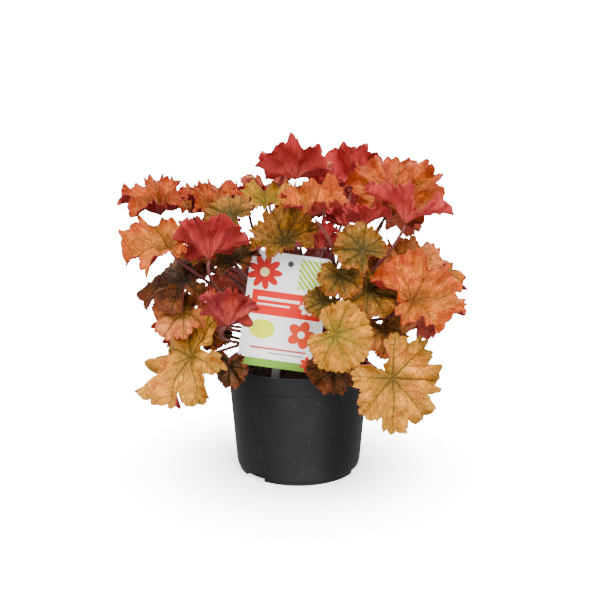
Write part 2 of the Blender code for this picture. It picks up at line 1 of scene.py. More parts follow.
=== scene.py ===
"""Looks of a heuchera in its nursery pot: fine leaves, pot, soil, crown and a plain printed label.

Each leaf repeats the rule that its CAD leaf was made by, reads from its CAD node how far that leaf gave way to its
neighbours, and is then drawn with its teeth, veins and puckered tissue. Sizes are millimetres unless a name says
otherwise, and MM turns them to metres.
"""
import logging
import math
import random
from dataclasses import dataclass
from enum import Enum
from typing import Any, Callable, Iterable, Iterator

import bmesh
import bpy
from bmesh.types import BMEdge, BMesh, BMVert
from bpy.types import Material, NodeSocket, NodeTree, Object
from mathutils import Matrix, Vector, kdtree, noise


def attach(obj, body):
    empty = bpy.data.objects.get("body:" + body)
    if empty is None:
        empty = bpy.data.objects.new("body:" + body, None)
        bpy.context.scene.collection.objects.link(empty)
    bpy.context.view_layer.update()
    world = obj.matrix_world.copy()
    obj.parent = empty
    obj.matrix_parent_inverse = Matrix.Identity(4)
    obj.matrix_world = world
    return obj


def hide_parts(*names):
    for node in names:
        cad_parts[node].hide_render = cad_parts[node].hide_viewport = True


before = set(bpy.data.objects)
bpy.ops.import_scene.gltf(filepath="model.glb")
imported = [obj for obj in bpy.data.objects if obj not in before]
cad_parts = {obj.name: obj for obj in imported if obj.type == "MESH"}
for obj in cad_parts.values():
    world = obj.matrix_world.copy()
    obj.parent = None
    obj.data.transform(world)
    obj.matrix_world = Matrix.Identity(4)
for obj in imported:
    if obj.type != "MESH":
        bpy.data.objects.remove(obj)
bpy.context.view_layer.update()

logging.basicConfig(level=logging.INFO, format="%(message)s")
log = logging.getLogger("heuchera")

MM = 0.001

# Leaf rule, as in the frame
STALK_RADIUS = 1.35
SOCKET_DEPTH = 5.0
CROWN_REACH = 33.0
CAD_STALK_STEPS = 4
STALK_START = 0.03
STALK_FALL = 60.0
LOBE_STEP = math.radians(45.0)
LOBE_LENGTHS = (1.0, 0.95, 0.86, 0.72)
SINUS = 0.68
BACK_GAP = 0.16
TOOTH = 0.075
SHRINKS = (1.0, 0.93, 0.86, 0.78, 0.7, 0.6, 0.5)
DEPTH_SHIFTS = (0, -5, 5, -10, 10, -16, 16, -22, 22, -30, 30)
SIDE_SHIFTS = (0, -6, 6)
BOWS = (14, 28, 42)
BOW_TURNS = 8
VIEWER = Vector((0, -775, 312))
FORMS = {
    "cup": (46.0, 26.0, 4.0, 0.15),
    "fan": (30.0, 8.0, 10.0, 0.14),
    "flat": (14.0, -6.0, 10.0, 0.09),
    "arch": (20.0, -30.0, 20.0, 0.13),
}


def linear(hex_colour: str) -> tuple[float, float, float, float]:
    """Turns an sRGB hex colour to linear light.

    Args:
        hex_colour: Six hex digits.

    Returns:
        Red, green, blue and an alpha of 1.
    """
    parts = [int(hex_colour[i:i + 2], 16) / 255 for i in (0, 2, 4)]
    red, green, blue = [p / 12.92 if p <= 0.04045 else ((p + 0.055) / 1.055) ** 2.4 for p in parts]
    return red, green, blue, 1.0


def add(tree: NodeTree, kind: str, feeds: dict[str | int, Any] | tuple = (), **settings: Any) -> NodeSocket | None:
    """Adds one node with its settings and links.

    Args:
        tree: The material's node tree.
        kind: The node's type without "ShaderNode".
        feeds: Input's name or number to the socket that is linked to it, or to its constant. A tuple feeds the
            first inputs in their order.
        **settings: The node's own properties.

    Returns:
        The node's first live output, or None if it has none.
    """
    node = tree.nodes.new("ShaderNode" + kind)
    for key, value in settings.items():
        setattr(node, key, value)
    for key, value in feeds.items() if isinstance(feeds, dict) else enumerate(feeds):
        if isinstance(value, NodeSocket):
            tree.links.new(value, node.inputs[key])
        else:
            node.inputs[key].default_value = value
    return next((output for output in node.outputs if output.enabled), None)


def layered(tree: NodeTree, ground: str, layers: Iterable[tuple[NodeSocket, float, str]]) -> NodeSocket:
    """Lays colours one over another.

    Args:
        tree: The material's node tree.
        ground: The colour below.
        layers: Where each further colour lies, how strongly, and the colour.

    Returns:
        The colour.
    """
    colour: Any = linear(ground)
    for mask, strength, tint in layers:
        factor = add(tree, "Math", (mask, strength), operation="MULTIPLY")
        colour = add(tree, "Mix", {0: factor, 6: colour, 7: linear(tint)}, data_type="RGBA")
    return colour


def surfaced(name: str, inputs: Callable[[NodeTree, NodeSocket], dict[str, Any]]) -> Material:
    """Makes a material.

    Args:
        name: What the real material is.
        inputs: Works out its shader's inputs from the node tree and the place on the object.

    Returns:
        The material.
    """
    material = bpy.data.materials.new(name)
    material.use_nodes = True
    tree = material.node_tree
    tree.nodes.clear()
    place = add(tree, "TexCoord").node.outputs["Object"]
    add(tree, "OutputMaterial", {"Surface": add(tree, "BsdfPrincipled", inputs(tree, place))})
    return material


@dataclass(frozen=True)
class VeinMasks:
    """Factors that a leaf's two faces share, near 1 on what they name."""

    main: NodeSocket
    branch: NodeSocket
    net: NodeSocket
    beside: NodeSocket
    heart: NodeSocket
    mottle: NodeSocket
    drift: NodeSocket
    share: NodeSocket
    grain: NodeSocket


@dataclass(frozen=True)
class LeafSkin:
    """Living leaf of a heuchera: satin puckered tissue over palm-like veins, crimson below."""

    pale: str
    deep: str
    green: str
    # Heart: dark olive round the stalk, partly the leaf's own green centre and partly painted shade
    heart: str
    vein: str
    rim: str
    under: str
    under_vein: str
    specks: float = 0.0
    speck: str = "5A2A12"
    branch_spacing: float = 7.5
    net_cell: float = 2.6

    def masks(self, tree: NodeTree, place: NodeSocket) -> VeinMasks:
        """Works out the veins from the blade's own UV maps.

        In tenths of a metre, the map "ribs" holds the distance beside and along the nearest lobe's midrib, and "flat"
        the place on the flattened blade. "edge" holds the share of the way out and the leaf's own draw.

        Args:
            tree: The material's node tree.
            place: The place on the object.

        Returns:
            The masks.
        """
        flat = add(tree, "UVMap", uv_map="flat")
        stray = add(tree, "TexNoise", {"Vector": flat, "Scale": 22.0, "Detail": 3.0}).node.outputs["Color"]
        stray = add(tree, "VectorMath", (stray, (0.5, 0.5, 0.5)), operation="SUBTRACT")
        stray = add(tree, "VectorMath", {0: stray, "Scale": 3.4}, operation="SCALE")
        ribs = add(tree, "VectorMath", {0: add(tree, "UVMap", uv_map="ribs"), "Scale": 100.0}, operation="SCALE")
        ribs = add(tree, "VectorMath", (ribs, stray), operation="ADD")
        across, along, _ = add(tree, "SeparateXYZ", (ribs,)).node.outputs
        beside = add(tree, "Math", (across,), operation="ABSOLUTE")
        share, own_draw, _ = add(tree, "SeparateXYZ", (add(tree, "UVMap", uv_map="edge"),)).node.outputs
        # A midrib thins from about 0.9 mm at the heart to a hairline at the tip
        width = add(tree, "MapRange", {"Value": share, "To Min": 0.8, "To Max": 0.22})
        midrib = add(tree, "Math", (beside, width), operation="DIVIDE")
        # Side veins leave the midrib at some 45 degrees and bend outwards
        bend = add(tree, "Math", (beside, 0.035, 0.75), operation="MULTIPLY_ADD")
        slant = add(tree, "Math", (beside, bend), operation="MULTIPLY")
        run = add(tree, "Math", (along, slant), operation="SUBTRACT")
        wave = add(tree, "Math", (run, self.branch_spacing / 2), operation="PINGPONG")
        width = add(tree, "MapRange", {"Value": beside, "From Max": 12.0, "To Min": 0.42, "To Max": 0.16})
        side_vein = add(tree, "Math", (wave, width), operation="DIVIDE")
        reach = add(tree, "VectorMath", (flat,), operation="LENGTH")
        main, branch, halo, heart = (
            add(
                tree, "MapRange", {"Value": off, "From Min": near, "From Max": far, "To Min": 1.0, "To Max": 0.0},
                interpolation_type="SMOOTHSTEP",
            )
            for off, near, far in (
                (midrib, 0.35, 1.5), (side_vein, 0.3, 1.6), (beside, 0.5, 4.5), (reach, 0.01, 0.22)
            )
        )
        outer = add(tree, "MapRange", {"Value": along, "From Min": 5.0, "From Max": 10.0})
        branch = add(tree, "Math", (branch, outer), operation="MULTIPLY")
        cells = add(tree, "VectorMath", {0: ribs, "Scale": 0.01}, operation="SCALE")
        cells = add(tree, "TexVoronoi", {"Vector": cells, "Scale": 100.0 / self.net_cell}, feature="DISTANCE_TO_EDGE")
        net = add(tree, "MapRange", {"Value": cells, "From Max": 0.16, "To Min": 1.0, "To Max": 0.0})
        blotch = add(tree, "TexNoise", {"Vector": place, "Scale": 85.0, "Detail": 5.0, "Roughness": 0.62})
        shifted = add(tree, "VectorMath", (place, (3.1, 1.7, 0.4)), operation="ADD")
        broad = add(tree, "TexNoise", {"Vector": shifted, "Scale": 26.0, "Detail": 3.0, "Roughness": 0.55})
        broad = add(tree, "Math", (own_draw, 0.22, broad), operation="MULTIPLY_ADD")
        mottle, drift = (
            add(tree, "MapRange", {"Value": noise_at, "From Min": a, "From Max": b}, interpolation_type="SMOOTHSTEP")
            for noise_at, a, b in ((blotch, 0.40, 0.60), (broad, 0.48, 0.74))
        )
        grain = add(tree, "TexNoise", {"Vector": place, "Scale": 700.0})
        return VeinMasks(main, branch, net, halo, heart, mottle, drift, share, grain)

    def upper(self, tree: NodeTree, place: NodeSocket) -> dict[str, Any]:
        """Upper face: mottled tissue that turns green beside the veins, darker sunken veins and a reddened rim.

        Args:
            tree: The material's node tree.
            place: The place on the object.

        Returns:
            The shader's inputs.
        """
        masks = self.masks(tree, place)
        rim = {"Value": masks.share, "From Min": 0.70, "To Max": 0.62}
        spots = add(tree, "TexNoise", {"Vector": place, "Scale": 260.0, "Detail": 1.0})
        colour = layered(tree, self.pale, (
            (masks.mottle, 1.0, self.deep),
            (masks.drift, 0.5, self.green),
            (masks.beside, 0.42, self.green),
            # Darker olive towards the heart: partly the leaf's own green centre, partly painted shade
            (masks.heart, 0.85, self.heart),
            (add(tree, "MapRange", rim, interpolation_type="SMOOTHSTEP"), 1.0, self.rim),
            (masks.net, 0.30, self.vein),
            (masks.branch, 0.60, self.vein),
            (masks.main, 0.85, self.vein),
            (add(tree, "MapRange", {"Value": spots, "From Min": 0.70, "From Max": 0.76}), self.specks, self.speck),
        ))
        branches = add(tree, "Math", (masks.branch, 0.75), operation="MULTIPLY")
        net = add(tree, "Math", (masks.net, 0.5), operation="MULTIPLY")
        sunken = add(tree, "Math", (masks.main, branches), operation="MAXIMUM")
        sunken = add(tree, "Math", (sunken, net), operation="MAXIMUM")
        puffed = add(tree, "Math", (1.0, sunken), operation="SUBTRACT")
        swell = add(tree, "Bump", {"Height": masks.mottle, "Distance": 0.0012, "Strength": 0.55})
        pucker = add(tree, "Bump", {"Height": puffed, "Distance": 0.0007, "Normal": swell})
        fine = add(tree, "Bump", {"Height": masks.grain, "Distance": 0.0001, "Strength": 0.6, "Normal": pucker})
        sheen = add(tree, "MapRange", {"Value": masks.mottle, "To Min": 0.40, "To Max": 0.58})
        return {
            "Base Color": colour, "Roughness": sheen, "Normal": fine, "Specular IOR Level": 0.18,
            "Subsurface Weight": 0.16, "Subsurface Radius": (1.0, 0.34, 0.10), "Subsurface Scale": 0.002,
        }

    def lower(self, tree: NodeTree, place: NodeSocket) -> dict[str, Any]:
        """Lower face: crimson to rose tissue with raised, paler veins.

        Args:
            tree: The material's node tree.
            place: The place on the object.

        Returns:
            The shader's inputs.
        """
        masks = self.masks(tree, place)
        colour = layered(tree, self.under, (
            (masks.mottle, 0.35, self.deep),
            (masks.heart, 0.25, self.under_vein),
            (masks.net, 0.16, self.under_vein),
            (masks.branch, 0.34, self.under_vein),
            (masks.main, 0.62, self.under_vein),
        ))
        branches = add(tree, "Math", (masks.branch, 0.7), operation="MULTIPLY")
        raised = add(tree, "Math", (masks.main, branches), operation="MAXIMUM")
        relief = add(tree, "Bump", {"Height": raised, "Distance": 0.0008})
        fine = add(tree, "Bump", {"Height": masks.grain, "Distance": 0.0001, "Strength": 0.6, "Normal": relief})
        return {
            "Base Color": colour, "Roughness": 0.55, "Normal": fine, "Specular IOR Level": 0.15,
            "Subsurface Weight": 0.16, "Subsurface Radius": (1.0, 0.25, 0.15), "Subsurface Scale": 0.002,
        }


class Tone(Enum):
    """How a leaf is coloured: young leaves are red, grown ones amber. Olive and brown go to leaves that lie in the
    plant's shade: their hues are the leaves' own and their darkness is painted shade.
    """

    AMBER = LeafSkin("EF9428", "B36115", "9D791D", "574C0D", "4F380B", "A1721A", "9C3A34", "BE6C54", 0.5)
    PEACH = LeafSkin("EC8B44", "AA5324", "967325", "625014", "683619", "BB5126", "94322F", "B1624B")
    GOLD = LeafSkin("E66C16", "A43D0A", "966314", "5E440C", "652907", "B53C0F", "791D24", "933932")
    ORANGE = LeafSkin("C85818", "8E3009", "7E5214", "533B0C", "592307", "A02A12", "6F1A21", "87342E")
    RED = LeafSkin("B43E20", "7F2311", "7C4819", "5A3411", "4F120A", "9C2319", "AE2D31", "C4584C")
    CRIMSON = LeafSkin("AF3D20", "7C2311", "784719", "573311", "4D120A", "982219", "901F23", "A34038")
    YELLOW = LeafSkin("E28F19", "AA680F", "927315", "605B0E", "5F4B0B", "A26A16", "983C2C", "BA6C4C")
    # Olive and brown: darker tones that paint the shade on leaves deep in the plant, over the leaves' own olive and
    # brown hues
    OLIVE = LeafSkin("A96B19", "73440D", "674E11", "42380C", "372A08", "854413", "702226", "914A39")
    BROWN = LeafSkin("763D14", "451F08", "49360D", "312408", "211004", "692D11", "581A20", "7D3735")


@dataclass(frozen=True)
class Pattern:
    """Noise, or cells seen by their edges: how many to a metre, how detailed, and how squeezed upwards."""

    scale: float
    detail: float = 2.0
    roughness: float = 0.5
    squeeze: float = 1.0
    cells: bool = False

    def value(self, tree: NodeTree, place: NodeSocket) -> NodeSocket:
        """Draws the pattern.

        Args:
            tree: The material's node tree.
            place: The place on the object.

        Returns:
            A value from 0 to 1.
        """
        if self.squeeze != 1.0:
            place = add(tree, "Mapping", {"Vector": place, "Scale": (1.0, 1.0, self.squeeze)})
        if self.cells:
            return add(tree, "TexVoronoi", {"Vector": place, "Scale": self.scale}, feature="DISTANCE_TO_EDGE")
        feeds = {"Vector": place, "Scale": self.scale, "Detail": self.detail, "Roughness": self.roughness}
        return add(tree, "TexNoise", feeds)


@dataclass(frozen=True)
class Finish:
    """A plain material: its real name, its colours one over another, its relief and its shine.

    A layer has its pattern, the values where it starts and where it is full, its strength and its colour. A relief
    has its pattern, its depth in metres and its strength. The shine's pattern swings the roughness between two
    values.
    """

    name: str
    ground: str
    layers: tuple[tuple[Pattern, float, float, float, str], ...]
    relief: tuple[tuple[Pattern, float, float], ...]
    roughness: float = 0.5
    shine: tuple[Pattern, float, float] | None = None
    specular: float = 0.5
    translucence: float = 0.0

    def inputs(self, tree: NodeTree, place: NodeSocket) -> dict[str, Any]:
        """Works out the shader's inputs.

        Args:
            tree: The material's node tree.
            place: The place on the object.

        Returns:
            The inputs.
        """
        layers = []
        for pattern, start, full, strength, colour in self.layers:
            range_of = {"Value": pattern.value(tree, place), "From Min": start, "From Max": full}
            layers.append((add(tree, "MapRange", range_of), strength, colour))
        feeds = {
            "Base Color": layered(tree, self.ground, layers), "Roughness": self.roughness,
            "Specular IOR Level": self.specular, "Subsurface Weight": self.translucence, "Subsurface Scale": 0.001,
        }
        if self.shine:
            pattern, low, high = self.shine
            swing = {"Value": pattern.value(tree, place), "To Min": low, "To Max": high}
            feeds["Roughness"] = add(tree, "MapRange", swing)
        below: dict[str, NodeSocket] = {}
        for pattern, depth, strength in self.relief:
            bump = {"Height": pattern.value(tree, place), "Distance": depth, "Strength": strength}
            below = {"Normal": add(tree, "Bump", bump | below)}
        return feeds | below

    def material(self) -> Material:
        """Makes the material."""
        return surfaced(self.name, self.inputs)


# Burgundy leaf stalk, russet here and there: fine lengthwise hairs soften its shine. They are drawn 0.6 mm apart,
# coarser than real ones, so that they show
HAIRS = Pattern(1600.0, squeeze=0.12)
STALK = Finish(
    "heuchera_stalk", "4A1A20",
    ((Pattern(30.0, 3.0), 0.45, 0.72, 1.0, "70342A"), (HAIRS, 0.0, 1.0, 0.35, "9A5A50")),
    ((HAIRS, 0.0001, 0.8),), specular=0.35, translucence=0.1,
)

# Black injection-moulded polypropylene: satin, with rings of flow, a grain of 0.7 mm, specks, and soil dust in
# patches of some 20 mm
FLOW = Pattern(60.0, 4.0, 0.6, squeeze=6.0)
POT_PLASTIC = Finish(
    "black_polypropylene", "0E0F11",
    ((Pattern(50.0, 6.0, 0.7), 0.50, 0.80, 0.5, "232321"), (Pattern(480.0), 0.71, 0.77, 0.6, "5A554C")),
    ((FLOW, 0.0003, 0.3), (Pattern(1400.0), 0.00005, 0.5)), shine=(FLOW, 0.34, 0.56), specular=0.22,
)

# Damp peat mix: matt, with crumbs of 2 to 4 mm and paler fibres of about 1 mm
PEAT = Finish(
    "peat_mix", "1A120D",
    ((Pattern(260.0, 5.0, 0.7), 0.4, 0.7, 1.0, "4A3626"), (Pattern(900.0), 0.68, 0.76, 0.6, "8A7558")),
    ((Pattern(420.0, 6.0, 0.7), 0.0014, 1.0),), roughness=0.95,
)

# Brown woody crown: matt, with scales of about 4 mm that are the dry feet of old stalks
SCALES = Pattern(240.0, cells=True)
OLD_WOOD = Finish(
    "woody_crown", "2E1A12",
    ((Pattern(160.0, 4.0), 0.0, 1.0, 1.0, "6A4030"), (SCALES, 0.2, 0.0, 1.0, "1C0F0B")),
    ((SCALES, 0.0012, 1.0),), roughness=0.85,
)

# Grey moulded polystyrene of the label's stake: half-gloss, with a mottle of 17 mm and a grain of 1 mm. Its dark grey
# is painted shade: the stake is darkened so that its foot below the card reads as the shade there.
GRAIN = Pattern(900.0)
STAKE_PLASTIC = Finish(
    "grey_polystyrene_with_painted_shade", "3E3D3C", ((Pattern(60.0, 3.0), 0.0, 1.0, 1.0, "2E2D2C"),),
    ((GRAIN, 0.00003, 0.4),), shine=(GRAIN, 0.34, 0.46),
)


class Motif(Enum):
    """Plain printed shapes of the label."""

    DISC = "disc"
    FLOWER = "flower"
    PANEL = "panel"
    STRIPES = "stripes"


@dataclass(frozen=True)
class Mark:
    """One printed shape: its middle and half sizes on the card in mm, its colour and how often it repeats."""

    motif: Motif
    middle: tuple[float, float]
    half: tuple[float, float]
    colour: str
    count: int = 0


@dataclass(frozen=True)
class PrintedCard:
    """Laminated polypropylene card: glossy white with an offset-printed pattern of plain garden shapes."""

    white: str = "FDFCFA"
    shade: str = "F2F0EC"
    foot: tuple[float, float, float] = (-19.0, -52.5, 107.0)
    lean: float = math.radians(1.5)
    tilt: float = math.radians(-8.0)
    print_depth: float = 0.2
    marks: tuple[Mark, ...] = (
        Mark(Motif.FLOWER, (-21.0, 82.0), (15.0, 15.0), "C81008", 9),
        Mark(Motif.DISC, (-21.0, 82.0), (4.0, 4.0), "F6E9A0"),
        Mark(Motif.STRIPES, (20.0, 84.0), (12.0, 13.0), "9CC014", 5),
        Mark(Motif.PANEL, (1.0, 56.0), (30.0, 10.5), "D4180C"),
        Mark(Motif.PANEL, (-6.0, 59.5), (18.0, 1.3), "FBE6DC"),
        Mark(Motif.PANEL, (-10.0, 54.5), (14.0, 0.8), "FBE6DC"),
        Mark(Motif.FLOWER, (19.0, 56.0), (7.0, 7.0), "FBE6DC", 6),
        Mark(Motif.DISC, (-17.0, 33.0), (11.0, 8.5), "D4DE06"),
        Mark(Motif.FLOWER, (17.0, 32.0), (12.5, 12.5), "D83C10", 5),
        Mark(Motif.DISC, (17.0, 32.0), (3.2, 3.2), "F8F4EC"),
        Mark(Motif.PANEL, (-1.0, 16.5), (24.0, 0.9), "B9574C"),
        Mark(Motif.PANEL, (6.0, 12.8), (15.0, 0.6), "9A8F8C"),
        Mark(Motif.PANEL, (0.0, 3.0), (35.0, 4.0), "6E9C30"),
        Mark(Motif.FLOWER, (26.0, 7.0), (7.0, 7.0), "D42410", 7),
    )

    def mask(self, tree: NodeTree, card: NodeSocket, mark: Mark) -> NodeSocket:
        """Works out where one shape is printed.

        Args:
            tree: The material's node tree.
            card: Place on the card in millimetres, X across and Z up.
            mark: The shape.

        Returns:
            A factor of 1 on the shape.
        """
        middle = (mark.middle[0], 0.0, mark.middle[1])
        size = (mark.half[0], 1.0, mark.half[1])
        spot = add(tree, "VectorMath", (card, middle), operation="SUBTRACT")
        spot = add(tree, "VectorMath", (spot, (1.0, 0.0, 1.0)), operation="MULTIPLY")
        spot = add(tree, "VectorMath", (spot, size), operation="DIVIDE")
        across, _, up = add(tree, "SeparateXYZ", (spot,)).node.outputs
        if mark.motif in (Motif.DISC, Motif.FLOWER):
            radius = add(tree, "VectorMath", (spot,), operation="LENGTH")
            if mark.motif is Motif.DISC:
                return add(tree, "Math", (radius, 1.0), operation="LESS_THAN")
            angle = add(tree, "Math", (up, across), operation="ARCTAN2")
            angle = add(tree, "Math", (angle, mark.count / 2), operation="MULTIPLY")
            petal = add(tree, "Math", (angle,), operation="COSINE")
            petal = add(tree, "Math", (petal,), operation="ABSOLUTE")
            limit = add(tree, "Math", (petal, 0.42, 0.58), operation="MULTIPLY_ADD")
            return add(tree, "Math", (radius, limit), operation="LESS_THAN")
        sides = tuple(add(tree, "Math", (side,), operation="ABSOLUTE") for side in (across, up))
        far = add(tree, "Math", sides, operation="MAXIMUM")
        inside = add(tree, "Math", (far, 1.0), operation="LESS_THAN")
        if mark.motif is Motif.PANEL:
            return inside
        slant = add(tree, "Math", (across, up), operation="ADD")
        slant = add(tree, "Math", (slant, mark.count / 2), operation="MULTIPLY")
        part = add(tree, "Math", (slant,), operation="FRACT")
        line = add(tree, "Math", (part, 0.62), operation="LESS_THAN")
        return add(tree, "Math", (line, inside), operation="MULTIPLY")

    def inputs(self, tree: NodeTree, place: NodeSocket) -> dict[str, Any]:
        """Prints the shapes on the front face alone, whose depth on the card is near zero.

        Args:
            tree: The material's node tree.
            place: The place on the object.

        Returns:
            The shader's inputs.
        """
        turn = Matrix.Rotation(-self.lean, 4, "X") @ Matrix.Rotation(-self.tilt, 4, "Y")
        back = (Matrix.Translation(self.foot) @ turn).inverted()
        card = add(tree, "Mapping", {
            "Vector": place, "Location": back.to_translation(), "Rotation": tuple(back.to_euler()),
            "Scale": (1000.0, 1000.0, 1000.0),
        })
        _, depth, _ = add(tree, "SeparateXYZ", (card,)).node.outputs
        front = add(tree, "Math", (depth, self.print_depth), operation="LESS_THAN")
        cloud = add(tree, "TexNoise", {"Vector": place, "Scale": 40.0})
        wave = add(tree, "TexNoise", {"Vector": place, "Scale": 24.0, "Detail": 1.0})
        layers = [(cloud, 1.0, self.shade)]
        for mark in self.marks:
            shape = add(tree, "Math", (self.mask(tree, card, mark), front), operation="MULTIPLY")
            layers.append((shape, 1.0, mark.colour))
        return {
            "Base Color": layered(tree, self.white, layers),
            "Normal": add(tree, "Bump", {"Height": wave, "Distance": 0.0004, "Strength": 0.3}),
            "Roughness": add(tree, "MapRange", {"Value": cloud, "To Min": 0.26, "To Max": 0.36}),
            "Specular IOR Level": 0.2,
        }


def placed(name: str, bm: BMesh, materials: Iterable[Material] = ()) -> Object:
    """Turns a bmesh in millimetres into an object.

    Args:
        name: The object's name.
        bm: The shape, which is freed.
        materials: Its materials in the order of the faces' numbers.

    Returns:
        The object.
    """
    bmesh.ops.scale(bm, vec=(MM, MM, MM), verts=bm.verts[:])
    mesh = bpy.data.meshes.new(name)
    bm.to_mesh(mesh)
    bm.free()
    for material in materials:
        mesh.materials.append(material)
    thing = bpy.data.objects.new(name, mesh)
    bpy.context.scene.collection.objects.link(thing)
    return thing


def finished(name: str, bm: BMesh, materials: Iterable[Material], node: str) -> Object:
    """Turns a bmesh in millimetres into a piece that replaces a CAD node.

    Args:
        name: The piece's name.
        bm: The shape, which is freed.
        materials: Its materials in the order of the faces' numbers.
        node: The CAD node.

    Returns:
        The piece.
    """
    bmesh.ops.recalc_face_normals(bm, faces=bm.faces[:])
    for face in bm.faces:
        face.smooth = True
    piece = placed(name, bm, materials)
    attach(piece, "root")
    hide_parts(node)
    log.info("%s: %d faces", name, len(piece.data.polygons))
    return piece


def spun(bm: BMesh, profile: list[tuple[float, float]], steps: int) -> None:
    """Spins a profile a full turn round the Z axis into a closed body.

    Args:
        bm: Where the body is added.
        profile: Points (radius, height), the first and last of them on the axis.
        steps: Segments of the turn.
    """
    verts = [bm.verts.new((radius, 0.0, height)) for radius, height in profile]
    edges = [bm.edges.new(pair) for pair in zip(verts, verts[1:])]
    bmesh.ops.spin(
        bm, geom=verts + edges, cent=(0, 0, 0), axis=(0, 0, 1), angle=math.tau, steps=steps, use_merge=True
    )
    bmesh.ops.remove_doubles(bm, verts=bm.verts[:], dist=1e-4)


def rounded(profile: list[tuple[float, float, float]], steps: int = 4) -> list[tuple[float, float]]:
    """Rounds the corners of a profile.

    Args:
        profile: Points (radius, height, corner's rounding).
        steps: Straight pieces in each rounded corner.

    Returns:
        Points (radius, height).
    """
    made: list[tuple[float, float]] = []
    for i, (x, z, fillet) in enumerate(profile):
        if fillet == 0:
            made.append((x, z))
            continue
        here = Vector((x, z))
        before = Vector(profile[i - 1][:2]) - here
        after = Vector(profile[i + 1][:2]) - here
        start = here + before.normalized() * min(fillet, before.length / 2)
        stop = here + after.normalized() * min(fillet, after.length / 2)
        for s in range(steps + 1):
            t = s / steps
            point = start * (1 - t) ** 2 + here * 2 * t * (1 - t) + stop * t ** 2
            made.append((point.x, point.y))
    return made


@dataclass(frozen=True)
class LeafRow:
    """One row of the leaf table: where the stalk meets the blade, its length, where it faces, its form and tone.

    The last number is how far the gaps between its lobes are filled: a round leaf has hardly any.
    """

    joint: tuple[float, float, float]
    length: float
    facing: float
    lean: float
    turn: float
    form: str
    tone: Tone
    fill: float = 0.36
